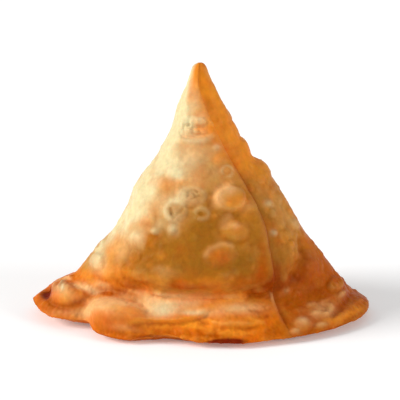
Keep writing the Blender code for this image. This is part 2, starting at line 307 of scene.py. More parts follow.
BLISTERS = (
    # Pillows of trapped steam that shape the whole crust
    Blister("dome", -24.8, 7.0, 8.6, 5.6, 3.4),
    Blister("dome", -40.5, 8.6, 4.6, 4.0, 2.2),
    Blister("dome", 3.0, 11.0, 14.0, 3.0, 0.8),
    Blister("dome", 40.0, 9.0, 5.5, 4.0, 1.0),
    Blister("dome", 19.5, 46.4, 4.6, 4.4, 1.3),
    Blister("dome", -17.5, 28.6, 6.0, 5.5, 1.0),
    Blister("dome", 32.0, 18.0, 4.5, 5.0, 1.0),
    Blister("dome", 14.0, 52.6, 3.0, 3.6, 1.0),
    Blister("dome", 16.0, 33.0, 4.0, 9.0, 0.6),
    # The large bubbles beside the wrap's edge, from the top down
    Blister("plateau", 7.6, 39.4, 4.4, 4.4, 1.8),
    Blister("dome", 12.4, 37.6, 2.8, 2.4, 0.8),
    Blister("dome", 9.8, 31.4, 4.4, 3.8, 1.1),
    Blister("dome", 9.0, 33.0, 1.9, 1.7, 0.8),
    Blister("dome", 5.2, 25.0, 5.0, 4.0, 1.3),
    Blister("dome", 7.9, 20.6, 3.2, 2.3, 0.7),
    Blister("dome", 14.0, 24.4, 2.4, 3.0, 0.5),
    Blister("dome", 9.8, 12.4, 3.8, 2.2, 0.9),
    Blister("bead", 7.1, 46.9, 0.8, 0.8, 0.35),
    Blister("bead", 4.0, 53.3, 1.0, 1.2, 0.5),
    Blister("dome", 5.4, 50.0, 2.0, 1.9, 0.55),
    Blister("dome", -3.4, 62.2, 1.5, 1.5, 0.4),
    Blister("dome", -2.3, 65.0, 1.6, 1.4, 0.35),
    # The crumbly patch under the tip
    Blister("crumple", -1.8, 59.2, 4.2, 3.0, 0.35),
    Blister("plateau", -0.4, 60.4, 1.9, 1.2, 0.8),
    Blister("dome", -4.0, 60.0, 1.3, 1.2, 0.8),
    Blister("dome", 2.6, 59.6, 1.2, 1.4, 0.7),
    Blister("bead", -2.7, 57.9, 0.9, 0.7, 0.6),
    Blister("bead", -0.9, 57.7, 0.9, 0.7, 0.65),
    Blister("bead", 0.9, 57.7, 0.8, 0.7, 0.6),
    Blister("dome", -1.4, 55.3, 4.8, 1.5, 0.8),
    Blister("dome", 2.6, 57.0, 1.4, 1.6, 0.5),
    # Bubbles in the middle of the front
    Blister("dome", -7.2, 46.6, 3.0, 2.2, 0.9),
    Blister("bead", -4.9, 45.2, 1.4, 1.2, 0.4),
    Blister("dome", -11.4, 43.6, 3.6, 3.4, 0.8),
    Blister("dome", -6.8, 52.0, 3.0, 2.4, 0.6),
    Blister("dome", -1.4, 50.6, 3.0, 2.0, 0.4),
    Blister("plateau", -2.2, 41.0, 3.8, 2.4, 0.4),
    Blister("dome", -2.8, 39.2, 3.0, 1.7, 0.6),
    Blister("plateau", -6.6, 36.4, 3.4, 3.2, 0.4),
    Blister("crumple", -6.2, 36.2, 2.4, 2.8, 0.5),
    Blister("dome", 0.1, 36.0, 1.0, 0.9, -0.3),
    Blister("bead", -7.7, 31.9, 1.3, 1.7, 0.7),
    Blister("bead", -12.5, 30.7, 1.3, 1.2, 0.6),
    Blister("dome", -17.0, 27.4, 3.2, 2.8, 0.5),
    Blister("dome", -9.6, 20.4, 3.6, 2.4, 0.5),
    Blister("dome", -19.6, 34.0, 2.6, 4.4, 0.7),
    Blister("dome", -25.0, 25.0, 3.0, 5.0, 0.6),
    Blister("ring", -30.4, 21.6, 1.8, 2.4, 0.3),
    Blister("plateau", -30.2, 18.4, 2.8, 2.6, 0.8),
    Blister("dome", -22.2, 18.8, 1.6, 3.4, 0.6),
    Blister("dome", -26.6, 16.4, 2.6, 2.0, 0.5),
    Blister("dome", -16.0, 18.4, 4.0, 2.0, 0.4),
    Blister("dome", -16.6, 40.0, 2.4, 3.0, 0.5),
    # Bubbles right of the wrap's edge
    Blister("dome", 19.6, 37.0, 1.8, 1.7, 0.6),
    Blister("bead", 20.8, 29.2, 1.1, 1.2, 0.6),
    Blister("dome", 22.8, 37.4, 1.4, 1.8, 0.4),
    Blister("dome", 25.5, 28.2, 1.6, 2.0, 0.5),
    Blister("dome", 28.0, 29.5, 1.6, 2.2, 0.7),
    Blister("dome", 28.8, 22.0, 1.6, 2.0, 0.6),
    Blister("dome", 24.6, 24.0, 2.6, 4.0, 0.6),
    # The skirt, from the left corner to the right one
    Blister("dome", -40.6, 10.0, 3.6, 3.0, 1.2),
    Blister("crumple", -40.4, 9.6, 2.8, 2.6, 0.5),
    Blister("bead", -38.4, 11.6, 1.2, 1.0, 0.5),
    Blister("dome", -46.2, 7.8, 3.0, 2.6, -1.8),
    Blister("dome", -36.4, 9.6, 2.0, 2.4, 0.5),
    Blister("dome", -29.8, 12.2, 2.4, 1.7, 0.6),
    Blister("dome", -11.2, 14.2, 2.6, 1.8, 0.7),
    Blister("dome", -8.0, 10.8, 6.4, 1.9, 0.7),
    Blister("dome", -20.6, 15.0, 3.0, 1.8, 0.7),
    Blister("dome", -3.6, 15.6, 3.4, 1.6, 0.5),
    Blister("dome", 3.4, 14.2, 2.2, 1.5, 0.7),
    Blister("dome", 16.4, 14.6, 3.0, 1.7, 0.7),
    Blister("dome", 17.0, 8.4, 4.4, 3.4, 0.6),
    Blister("plateau", 39.6, 11.2, 2.4, 2.4, 0.9),
    Blister("bead", 41.2, 8.2, 1.4, 1.1, 0.6),
    Blister("plateau", 35.7, 6.8, 2.3, 2.1, 0.4),
    Blister("dome", 35.7, 6.8, 1.3, 1.1, -0.6),
    Blister("bead", 35.6, 6.7, 0.6, 0.5, 0.3),
    Blister("bead", 34.3, 7.0, 0.8, 0.9, 0.4),
    Blister("bead", 35.0, 8.2, 0.9, 0.7, 0.4),
    Blister("bead", 36.5, 8.3, 0.8, 0.8, 0.35),
    Blister("bead", 37.3, 7.0, 0.8, 0.9, 0.4),
    Blister("bead", 36.4, 5.6, 0.9, 0.7, 0.45),
    Blister("bead", 34.9, 5.6, 0.7, 0.7, 0.35),
    Blister("bead", 32.1, 8.4, 1.3, 1.0, 0.5),
    Blister("bead", 32.8, 6.4, 1.2, 1.0, 0.5),
    Blister("dome", 29.3, 4.6, 2.5, 2.5, 1.1),
    Blister("dome", 34.5, 3.5, 1.9, 1.4, 0.8),
    Blister("bead", 26.5, 3.4, 1.1, 0.9, 0.5),
    Blister("dome", 28.1, 7.4, 1.8, 1.5, 0.5),
    Blister("bead", 24.9, 12.6, 1.0, 1.1, 0.5),
    Blister("dome", 27.8, 11.4, 1.4, 1.2, 0.4),
)
STEEPEST = 0.55  # the least share of its true width that a spot on the flank is seen at
BLISTER_REACH = 1.5  # how far from its middle a blister is worked out, in its half sizes
TURNED_AWAY = -0.1  # skin that faces the viewer less than this doesn't show
UNDERNEATH = -0.3  # nor does skin whose normal dips more than this
FAR = 100  # what a place that doesn't show counts as farther off
SAME_SIDE = -0.2  # a spot leaves out skin that faces away from its middle more than this
RAGGED = 0.22  # how much the lumps move the edge of a spot, as a share of its size
LUMP_SHARE = 0.8  # the size of those lumps, as a share of its half width and half height together


def dome(radius):
    return np.clip(1 - radius**2, 0, 1) ** 1.5


def bead(radius):
    return np.clip(1 - radius**2, 0, 1) ** 0.9


def ring(radius):
    """A rounded rim round a sunken middle."""
    return np.exp(-(((radius - 0.6) / 0.28) ** 2)) - 0.3 * np.exp(-((radius / 0.3) ** 2))


def plateau(radius):
    """A flattened bubble."""
    return 1 - smooth_step(0.65, 1.05, radius)


SHAPES = {"dome": dome, "bead": bead, "ring": ring, "plateau": plateau, "crumple": dome}
CRUMB = 1.7  # the size of a crumb in a crumpled patch
CRUMB_GAP = 3  # how deep the gaps between crumbs are, for crumbs 1 high
RING_BROWN = 0.35  # strength of the browning inside a burst bubble
RING_HOLE = 0.4  # how far out that browning reaches, in half sizes of the bubble
RING_PALE = 0.25  # strength of the paling of its rim

# Chance bubbles: how many, their least and greatest half size, and the rise for a half size of 1.
# The power is how much commoner the small ones are.
FRONT_CHANCE = (130, 0.8, 2.2, 0.16)
BACK_CHANCE = (130, 0.6, 3.2, 0.26)
CHANCE_POWER = 2.5
CHANCE_STRETCH = (0.8, 1.25)  # least and greatest width for a height of 1
CHANCE_LOW = 3  # they stay above this height
CHANCE_HIGH = 0.9  # and under this share of the samosa's height
CHANCE_FACING = 0.05  # where the skin's normal turns at least this far to the side that is meant
CHANCE_SLOPE = -0.2  # and at most this far down
CHANCE_BULGE = 0.7  # the power of their size that their rise grows with
BUBBLE_LAYERS = ("honey", "amber", "tan")  # their tops take one of these, this strongly
BUBBLE_COLOUR = 0.3
BUBBLE_FOOT_SHADE = 0.2  # and the painted shade round their feet, in umber
FOOT_AT = 1.1  # how far out that painted shade is and how wide, in half sizes of the bubble
FOOT_WIDTH = 0.25


class Stroke(NamedTuple):
    """A crease (rise under 0) or ridge along a line of places that are across and up. The skin just
    below the line moves by the step. It carries a colour layer, with its strength, and the colour
    spreads that many times the half width."""

    half_width: float
    rise: float
    step: float
    layer: str
    strength: float
    spread: float
    line: tuple


STROKES = {
    # The groove beside the wrap's edge at the tip, and the curls of the crumbly patch below
    "tip_groove": Stroke(
        1.2, -0.3, 0, "honey", 1.4, 1.3,
        ((0.0, 76.0), (0.4, 71.0), (1.6, 66.8), (3.0, 62.5)),
    ),
    "curl": Stroke(
        0.4, -0.25, 0, "umber", 0.5, 1.0,
        ((-3.9, 62.0), (-3.2, 62.8), (-2.3, 62.2), (-2.6, 61.2)),
    ),
    "crumb_top": Stroke(
        0.6, 0.15, 0, "pale", 0.3, 1.2,
        ((-4.8, 60.0), (-3.2, 61.2), (-1.0, 61.0), (0.6, 60.2)),
    ),
    "crumb_mark": Stroke(0.35, -0.25, 0, "umber", 0.6, 1.0, ((-3.8, 57.4), (-2.0, 57.0), (0.2, 57.2))),
    "crumb_gap": Stroke(
        0.4, -0.4, 0, "amber", 1.0, 1.2,
        ((-4.6, 58.4), (-3.2, 59.0), (-1.6, 58.8), (0.4, 58.8), (1.6, 58.2)),
    ),
    "crumb_arc": Stroke(
        0.5, -0.5, 0, "umber", 1.0, 1.1,
        ((-5.6, 57.4), (-4.6, 56.3), (-2.4, 55.9), (1.8, 57.4)),
    ),
    "crumb_lip": Stroke(
        0.8, 0.25, 0, "pale", 0.25, 1.1,
        ((-5.0, 55.4), (-2.0, 54.9), (0.8, 55.3), (3.4, 56.9)),
    ),
    # Burst bubbles in the middle: rims, dark insides and wrinkles
    "oval": Stroke(
        0.75, 0.4, 0, "pale", 0.4, 1.1,
        ((-5.4, 38.9), (-7.2, 39.2), (-9.0, 37.6), (-9.3, 35.7), (-7.6, 33.4)),
    ),
    "oval_right": Stroke(
        0.45, 0.12, 0, "pale", 0.08, 1.2,
        ((-6.0, 39.0), (-4.3, 37.9), (-3.7, 36.4), (-5.2, 33.8)),
    ),
    "oval_hole": Stroke(0.5, -0.25, 0, "umber", 0.5, 1.3, ((-7.9, 37.8), (-7.7, 36.2), (-6.8, 34.2))),
    "patch": Stroke(
        0.5, 0.2, 0, "pale", 0.12, 1.3,
        (
            (-4.6, 39.4), (-5.5, 41.0), (-4.2, 42.7), (-1.8, 43.1),
            (0.4, 42.2), (1.3, 40.6), (0.0, 39.0), (-3.4, 38.8),
        ),
    ),
    "patch_line_a": Stroke(
        0.35, -0.35, 0, "umber", 1.0, 1.1,
        ((-3.7, 41.2), (-2.1, 42.3), (-0.4, 41.5)),
    ),
    "patch_line_b": Stroke(
        0.35, -0.35, 0, "umber", 1.0, 1.1,
        ((-3.9, 40.3), (-2.2, 41.3), (-1.0, 40.4)),
    ),
    "patch_line_c": Stroke(0.35, -0.3, 0, "umber", 0.7, 1.1, ((-2.9, 39.6), (-1.3, 40.2), (0.0, 41.0))),
    "small_ring": Stroke(
        0.5, 0.12, 0, "pale", 0.15, 1.2,
        (
            (-1.1, 35.2), (-1.4, 36.6), (-0.4, 37.6), (1.3, 37.2),
            (2.2, 36.0), (1.2, 34.9), (-0.9, 35.0), (-1.5, 36.0),
        ),
    ),
    "high_ring": Stroke(
        0.35, 0.18, 0, "pale", 0.2, 1.2,
        (
            (6.5, 45.7), (5.7, 46.7), (5.9, 47.8), (7.1, 48.4),
            (8.4, 47.6), (8.6, 46.4), (7.6, 45.5), (6.2, 45.9),
        ),
    ),
    # Painted highlights on the upper left rims of the large bubbles beside the wrap's edge, and painted
    # shade in the creases round their lower right
    "lit_rim_a": Stroke(
        1.0, 0.0, 0, "blush", 0.7, 1.6,
        ((5.2, 36.8), (4.4, 39.8), (5.2, 42.2), (7.0, 43.2), (9.4, 42.4)),
    ),
    "shaded_foot_a": Stroke(
        0.6, -0.12, 0, "umber", 0.4, 1.5,
        ((11.0, 42.6), (12.4, 40.0), (11.8, 37.0), (9.4, 35.2), (5.4, 35.8)),
    ),
    "lit_rim_b": Stroke(0.9, 0.04, 0, "blush", 0.35, 1.5, ((6.6, 31.4), (6.7, 34.4), (8.8, 35.8))),
    "shaded_foot_b": Stroke(
        0.6, -0.12, 0, "umber", 0.4, 1.5,
        ((11.8, 34.2), (13.4, 31.2), (11.6, 28.6), (8.0, 28.8), (6.4, 30.6)),
    ),
    "lit_rim_c": Stroke(
        0.5, 0.12, 0, "blush", 0.35, 1.5,
        ((0.8, 24.2), (2.6, 27.2), (6.2, 28.4), (9.4, 27.0)),
    ),
    "shaded_foot_c": Stroke(
        0.6, -0.12, 0, "umber", 0.5, 1.5,
        ((1.2, 23.4), (4.2, 21.6), (8.4, 22.2), (9.8, 25.2)),
    ),
    # Painted shade in the fold at the lower right of the belly
    "belly_fold": Stroke(
        1.8, -1.2, 0, "russet", 0.3, 1.3,
        ((28.9, 27.0), (29.6, 22.6), (28.1, 18.6), (25.0, 15.6)),
    ),
    # The pinch above the skirt, with painted shade in its crease
    "pinch": Stroke(
        2.2, -0.5, 0, "chestnut", 0.8, 1.0,
        ((-26.0, 13.6), (-18.0, 15.6), (-6.0, 15.8), (4.0, 15.6), (12.0, 14.8)),
    ),
    "pinch_end": Stroke(
        2.4, -0.5, 0, "russet", 0.8, 1.1,
        ((7.0, 15.2), (14.0, 14.6), (19.0, 14.8), (24.0, 14.6)),
    ),
    "pinch_rise": Stroke(
        1.6, 0.4, 0, "honey", 0.3, 1.2,
        ((-22.0, 17.4), (-12.0, 18.0), (-2.0, 17.8), (10.0, 17.0)),
    ),
    # The seal's two lips with the vivid crust between and under them, the flakes and the pillow. The
    # lips' crests carry honey, partly as a painted highlight.
    "lip": Stroke(
        0.5, 0.45, -1.5, "honey", 0.9, 1.2,
        ((-21.0, 4.6), (-15.8, 6.2), (-7.0, 6.5), (-0.2, 7.8), (3.6, 10.2)),
    ),
    "lip_low": Stroke(
        0.5, 0.4, -1.4, "honey", 0.9, 1.2,
        ((-1.0, 7.4), (2.4, 6.8), (5.7, 5.9), (11.1, 5.8), (18.0, 5.4)),
    ),
    "lip_hot": Stroke(
        0.9, 0.0, 0, "honey", 1.0, 1.0,
        ((-18.0, 5.0), (-8.0, 5.7), (0.0, 6.2), (6.0, 4.6), (14.0, 4.6)),
    ),
    "lip_edge": Stroke(
        0.8, 0.0, 0, "pale", -1.2, 1.2,
        ((-20.0, 4.4), (-15.8, 5.2), (-7.0, 5.5), (-0.4, 6.8), (3.0, 8.6)),
    ),
    # Painted shade at the foot of the lips
    "lip_foot": Stroke(
        0.9, -0.15, 0, "chestnut", 0.45, 1.3,
        ((-18.0, 3.2), (-8.0, 3.6), (2.0, 3.8), (12.0, 3.4)),
    ),
    "flake_a": Stroke(0.5, -0.12, 0, "russet", 0.3, 1.2, ((13.2, 8.8), (14.8, 8.0), (16.6, 8.3))),
    "flake_b": Stroke(0.5, -0.12, 0, "russet", 0.3, 1.2, ((15.8, 7.2), (17.4, 6.7), (19.2, 7.0))),
    "flake_c": Stroke(0.45, -0.1, 0, "russet", 0.25, 1.2, ((17.6, 8.6), (18.8, 8.2), (20.0, 8.6))),
    "flake_lip": Stroke(
        0.6, 0.3, 0, "honey", 0.8, 1.1,
        ((11.6, 7.6), (14.0, 7.0), (16.0, 6.2), (18.6, 5.8)),
    ),
    # Painted highlight on the pillow's top
    "pillow_top": Stroke(
        1.1, 0.3, 0, "blush", 1.0, 1.4,
        ((-32.8, 4.4), (-31.2, 7.0), (-28.4, 8.6), (-25.2, 9.5), (-19.2, 8.8)),
    ),
    # Painted shade in the crease round the pillow
    "pillow_crease": Stroke(
        1.1, -0.8, 0, "chestnut", 0.5, 1.1,
        (
            (-34.6, 5.6), (-33.2, 9.0), (-28.4, 11.6), (-22.4, 11.6),
            (-17.2, 10.2), (-15.4, 8.0), (-16.4, 6.2),
        ),
    ),
    # The corners: painted highlights on the left one's crinkles, and painted shade in the creases of
    # both
    "crinkle_a": Stroke(
        0.6, 0.3, 0, "blush", 0.9, 1.2,
        ((-42.8, 8.6), (-42.2, 10.4), (-40.6, 11.6), (-38.0, 11.2)),
    ),
    "crinkle_b": Stroke(0.5, 0.2, 0, "pale", 0.5, 1.2, ((-40.8, 11.6), (-40.2, 9.8), (-38.8, 8.8))),
    "corner_seam": Stroke(
        0.9, -0.6, 0, "chestnut", 0.8, 1.6,
        ((-48.5, 6.4), (-42.4, 6.0), (-38.2, 6.2), (-34.0, 8.2)),
    ),
    "rim_fold": Stroke(
        1.0, -0.35, 0, "russet", 0.5, 1.3,
        ((36.6, 4.2), (40.0, 5.8), (42.6, 6.8), (45.6, 7.0)),
    ),
    "rim_lip": Stroke(
        1.0, 0.5, 0, "honey", 0.9, 1.3,
        ((37.0, 2.4), (41.6, 4.4), (45.2, 5.2), (49.4, 5.2)),
    ),
}
STROKE_CURVE = 6  # points along a stroke between two of its places
STROKE_TAPER = 0.2  # the share of a stroke's length over which each end fades
STEP_REACH = 4.5  # how far below its line a stroke's step reaches
STROKE_WAVER = 0.25  # how much the lumps move a stroke's sides, as a share of its width


class Tint(NamedTuple):
    """A soft spot of one layer of colour: which layer, where, its half sizes and its strength. A
    strength under 0 takes the layer away."""

    layer: str
    across: float
    up: float
    half_width: float
    half_height: float
    strength: float
    behind: bool = False


# The layers in the order they are laid over the golden dough
LAYERS = ("tan", "umber", "amber", "honey", "chestnut", "blush", "pale", "russet", "burnt")
TINTS = (
    # The centre of the front: dull and tan above, olive brown below
    Tint("tan", -3.0, 47.0, 8.0, 8.0, 0.9),
    Tint("tan", -10.0, 36.0, 5.0, 7.0, 0.8),
    Tint("tan", -16.0, 27.0, 3.0, 4.0, 0.5),
    Tint("tan", 22.0, 35.0, 3.0, 4.0, 0.4),
    Tint("umber", -9.0, 24.0, 9.0, 6.0, 1.0),
    Tint("umber", 0.0, 31.0, 6.0, 4.6, 0.9),
    Tint("umber", 2.0, 22.0, 9.0, 5.0, 0.9),
    Tint("umber", 12.6, 22.0, 5.0, 6.0, 1.0),
    Tint("umber", 5.0, 33.8, 1.8, 1.8, 1.2),
    Tint("umber", 7.8, 34.4, 2.0, 1.1, 0.8),
    Tint("umber", 2.8, 39.4, 1.5, 2.8, 1.3),
    Tint("umber", 12.4, 32.6, 1.6, 2.4, 0.5),
    Tint("umber", -13.2, 27.0, 2.0, 3.4, 0.6),
    Tint("umber", -7.0, 29.4, 2.2, 1.8, -0.35),
    Tint("pale", -13.2, 27.0, 2.2, 3.6, -0.25),
    Tint("umber", 19.0, 32.0, 2.4, 4.0, 1.0),
    Tint("umber", -1.0, 27.0, 5.0, 5.0, 0.6),
    Tint("umber", 15.5, 31.0, 1.6, 4.0, 0.5),
    Tint("umber", -17.0, 21.4, 4.6, 3.6, 0.65),
    Tint("umber", 23.6, 22.0, 3.4, 5.0, 0.8),
    Tint("tan", -6.6, 35.6, 2.2, 2.8, 1.0),
    Tint("pale", -6.8, 35.0, 2.0, 2.6, 0.25),
    Tint("pale", -10.4, 36.4, 1.6, 2.4, 0.3),
    Tint("umber", -7.8, 36.6, 0.6, 1.0, 0.5),
    Tint("umber", 0.1, 36.0, 0.7, 0.6, 0.5),
    Tint("chestnut", 17.0, 19.0, 1.6, 4.0, 0.8),
    # Painted shade at the foot of the belly, just above the pinch
    Tint("chestnut", -1.0, 16.8, 8.0, 1.4, 0.9),
    Tint("chestnut", 13.0, 17.6, 5.0, 2.4, 0.9),
    # Orange right of the tip and on the bubbles
    Tint("honey", 1.5, 71.0, 2.4, 6.0, 0.9),
    Tint("honey", 5.0, 64.0, 3.6, 6.0, 1.0),
    Tint("honey", 8.5, 57.0, 4.0, 5.0, 1.0),
    Tint("honey", 13.5, 50.0, 4.6, 4.6, 0.9),
    Tint("pale", 0.4, 69.6, 1.3, 3.4, -0.5),
    Tint("blush", 0.4, 69.4, 1.1, 3.4, -0.4),
    Tint("honey", 2.6, 58.4, 1.8, 2.0, 0.8),
    Tint("honey", -0.6, 59.6, 3.0, 2.2, 0.8),
    Tint("pale", 0.4, 58.0, 1.6, 1.6, -0.4),
    Tint("blush", 0.4, 60.4, 1.0, 1.4, 0.7),
    Tint("honey", 18.0, 45.0, 4.0, 4.0, 0.4),
    Tint("honey", -11.2, 43.4, 3.0, 2.8, 0.6),
    Tint("honey", -5.4, 44.8, 1.7, 1.3, 0.6),
    Tint("honey", -17.6, 31.6, 3.2, 3.0, 0.4),
    Tint("honey", 11.0, 38.0, 3.0, 3.0, 0.3),
    Tint("honey", -16.6, 27.6, 2.4, 2.4, 0.4),
    Tint("honey", 28.0, 32.0, 2.4, 5.0, 0.3),
    # Painted highlight beside the groove at the tip
    Tint("blush", 3.0, 72.6, 0.9, 2.6, 0.5),
    Tint("amber", 4.2, 55.0, 1.3, 1.5, 0.7),
    Tint("amber", 10.0, 49.0, 1.4, 2.0, 0.8),
    Tint("amber", 6.2, 51.0, 1.6, 1.4, 0.5),
    Tint("amber", 5.3, 24.9, 2.7, 2.1, 0.7),
    Tint("chestnut", 5.6, 24.4, 1.7, 1.3, 0.6),
    Tint("amber", 7.1, 46.9, 2.6, 2.6, 0.2),
    Tint("blush", 7.4, 41.4, 2.4, 1.4, 0.5),
    Tint("tan", 4.4, 47.6, 2.4, 1.8, 0.7),
    Tint("chestnut", 17.0, 25.0, 1.5, 5.0, 0.5),
    Tint("amber", 12.0, 28.4, 2.0, 2.0, 0.2),
    # The low left, where the flank turns into the corner
    Tint("honey", -27.0, 17.0, 4.0, 2.6, 0.8),
    Tint("honey", -24.4, 24.0, 1.8, 5.4, 0.8),
    Tint("amber", -27.0, 15.0, 4.0, 2.0, 0.7),
    Tint("chestnut", -29.0, 14.8, 2.0, 1.2, 0.4),
    Tint("amber", -22.4, 17.6, 2.4, 2.4, 0.6),
    Tint("honey", -33.8, 14.0, 2.6, 1.6, 0.8),
    Tint("blush", -22.2, 23.4, 1.2, 4.0, 0.4),
    Tint("honey", -29.8, 12.2, 2.0, 1.4, 0.5),
    Tint("blush", -33.0, 11.0, 3.2, 1.3, 1.0),
    Tint("pale", -32.4, 10.6, 2.2, 0.9, 0.3),
    Tint("blush", -28.4, 13.0, 2.0, 0.9, 0.7),
    Tint("blush", -36.8, 10.4, 1.0, 1.0, 0.5),
    Tint("blush", -30.6, 6.0, 1.6, 2.0, 1.2),
    Tint("blush", -28.4, 7.4, 1.8, 1.0, 0.5),
    Tint("blush", -27.4, 7.8, 2.6, 1.6, 0.7),
    Tint("blush", -17.8, 9.4, 2.0, 1.2, 0.9),
    Tint("chestnut", -34.4, 7.2, 1.8, 1.4, 1.1),
    Tint("chestnut", -35.0, 5.2, 2.0, 1.2, 0.5),
    Tint("chestnut", -27.6, 10.8, 2.8, 0.8, 0.6),
    Tint("blush", -27.6, 10.8, 2.8, 0.7, -0.5),
    Tint("chestnut", -21.8, 10.8, 2.2, 1.0, -0.5),
    Tint("blush", -21.8, 10.8, 2.0, 1.0, 0.5),
    Tint("blush", -34.0, 5.0, 2.4, 1.4, 0.5),
    Tint("chestnut", -37.4, 5.4, 3.0, 1.4, 0.5),
    Tint("blush", -19.0, 12.6, 3.0, 0.8, 0.4),
    Tint("tan", -40.6, 8.2, 2.4, 1.6, 0.8),
    Tint("pale", -40.4, 9.0, 2.2, 2.0, 0.4),
    Tint("honey", -37.8, 8.6, 1.8, 2.4, 0.6),
    Tint("chestnut", -44.0, 4.4, 5.0, 1.6, 0.5),
    # The skirt in front
    Tint("honey", -21.6, 7.8, 4.0, 1.2, 0.7),
    # Painted highlight on the pillow's top
    Tint("blush", -25.0, 9.0, 4.6, 1.4, 0.8),
    Tint("blush", -24.5, 7.2, 6.0, 2.8, 0.25),
    Tint("blush", -39.0, 4.6, 4.6, 1.4, 0.3),
    Tint("chestnut", -23.6, 5.2, 4.6, 1.6, 0.5),
    # Painted shade at the bottom of the pillow
    Tint("chestnut", -24.0, 3.2, 5.0, 1.0, 0.6),
    Tint("blush", -14.6, 11.0, 3.4, 1.6, 0.6),
    # A painted highlight
    Tint("pale", -10.8, 8.8, 2.6, 2.2, 0.9),
    Tint("blush", -13.4, 9.6, 4.0, 2.4, 0.6),
    # Painted highlight at the upper end of the lip
    Tint("blush", 0.6, 8.6, 2.2, 1.0, 0.9),
    Tint("pale", 3.0, 9.0, 2.0, 1.0, -0.4),
    Tint("pale", -4.6, 10.2, 4.0, 1.8, 0.25),
    Tint("blush", -5.0, 11.8, 8.0, 2.6, 0.5),
    Tint("blush", 11.0, 9.0, 4.4, 1.7, 1.0),
    Tint("pale", 10.4, 9.0, 2.4, 1.0, 0.15),
    Tint("honey", 9.6, 12.2, 3.2, 1.8, 0.7),
    Tint("tan", 0.0, 12.4, 6.0, 2.0, 1.0),
    Tint("honey", 3.0, 9.4, 4.0, 1.4, 0.6),
    Tint("chestnut", 23.4, 11.2, 2.0, 2.4, 0.7),
    Tint("honey", 8.0, 11.0, 6.0, 1.6, 0.6),
    Tint("honey", 16.0, 10.4, 5.0, 2.0, 0.5),
    # Painted highlight on the lip
    Tint("pale", -2.0, 8.4, 2.4, 0.6, 0.5),
    Tint("blush", -11.2, 14.2, 2.2, 1.1, 0.7),
    Tint("blush", -7.8, 12.8, 2.4, 0.9, 0.6),
    Tint("blush", 8.4, 12.8, 2.6, 1.2, 0.35),
    Tint("honey", 9.0, 4.6, 4.0, 1.0, 1.0),
    Tint("honey", -0.2, 6.2, 2.8, 1.0, 1.4),
    Tint("chestnut", 0.0, 6.2, 2.6, 0.9, -0.8),
    Tint("chestnut", 3.4, 3.8, 2.4, 0.8, 0.6),
    Tint("honey", -15.0, 5.8, 2.2, 0.9, 1.2),
    Tint("honey", -2.0, 3.0, 6.0, 0.9, 0.6),
    Tint("honey", -9.0, 2.8, 5.0, 0.9, 0.4),
    Tint("blush", -21.0, 4.2, 3.0, 0.8, 0.3),
    Tint("honey", 14.0, 4.4, 3.0, 1.0, 0.4),
    Tint("chestnut", 15.0, 7.4, 3.0, 1.4, 0.4),
    Tint("chestnut", 21.4, 3.6, 4.0, 1.8, 0.8),
    Tint("chestnut", 23.2, 8.0, 1.6, 1.6, -0.5),
    Tint("russet", 16.4, 7.8, 0.8, 0.5, 0.5),
    Tint("russet", 14.6, 8.2, 0.7, 0.5, 0.4),
    Tint("russet", 18.4, 7.0, 0.7, 0.5, 0.4),
    Tint("russet", 17.6, 8.8, 0.6, 0.5, 0.4),
    Tint("russet", 7.4, 1.6, 5.6, 1.6, 1.0),
    # Painted shade under the pillow
    Tint("russet", -15.5, 2.4, 4.6, 0.7, 0.9),
    Tint("russet", -25.0, 1.6, 4.0, 0.7, 0.5),
    # The skirt and the belly on the right
    Tint("chestnut", 33.0, 15.0, 6.0, 6.0, 1.2),
    Tint("russet", 29.4, 15.6, 2.6, 2.2, 0.8),
    Tint("russet", 31.6, 11.6, 2.4, 1.6, 0.4),
    Tint("chestnut", 37.0, 20.0, 2.6, 8.0, 0.9),
    Tint("chestnut", 18.6, 12.0, 3.6, 1.6, 1.4),
    # Painted shadow under the foot of the wrap's edge
    Tint("russet", 22.0, 18.6, 1.8, 3.0, 0.8),
    Tint("russet", 19.6, 17.4, 4.0, 3.4, 0.3),
    Tint("russet", 22.6, 14.0, 2.4, 1.8, 0.9),
    Tint("russet", 26.4, 14.4, 2.4, 1.4, 0.5),
    Tint("russet", 43.0, 9.0, 3.0, 1.6, 0.3),
    Tint("russet", 31.0, 20.0, 1.6, 2.6, 0.4),
    Tint("amber", 32.0, 24.0, 2.6, 3.4, 0.6),
    Tint("honey", 39.8, 11.4, 2.4, 2.4, 0.6),
    Tint("tan", 39.8, 11.8, 1.8, 1.8, 0.6),
    Tint("blush", 41.2, 8.0, 1.1, 0.9, 0.6),
    Tint("chestnut", 35.8, 6.4, 2.4, 2.2, -0.5),
    Tint("blush", 35.8, 6.4, 2.1, 1.9, 1.0),
    Tint("russet", 35.7, 6.8, 1.1, 1.0, 0.7),
    Tint("russet", 35.6, 6.7, 0.5, 0.45, -0.5),
    Tint("blush", 32.1, 8.4, 1.0, 0.8, 0.3),
    Tint("blush", 32.7, 6.4, 0.9, 0.8, 0.3),
    Tint("blush", 29.0, 4.9, 1.3, 1.3, 0.6),
    Tint("pale", 28.9, 5.4, 0.9, 0.9, 0.3),
    Tint("blush", 34.5, 3.8, 1.3, 0.8, 0.6),
    Tint("blush", 26.5, 3.4, 0.9, 0.8, 0.6),
    Tint("blush", 24.6, 12.6, 0.9, 1.0, 0.5),
    # Painted highlights on the right corner's lip, with the chestnut taken from under them
    Tint("chestnut", 45.0, 4.2, 3.8, 1.2, -0.8),
    Tint("honey", 45.6, 4.2, 3.4, 0.9, 1.1),
    Tint("chestnut", 39.0, 4.2, 2.6, 1.5, -0.8),
    Tint("honey", 39.0, 4.2, 2.4, 1.4, 1.1),
    Tint("chestnut", 40.0, 10.8, 2.4, 2.4, -0.6),
    Tint("chestnut", 36.8, 12.0, 1.4, 1.8, -0.5),
    Tint("chestnut", -42.0, 7.0, 1.6, 1.2, -0.4),
    Tint("chestnut", 28.6, 3.6, 2.6, 1.6, -0.4),
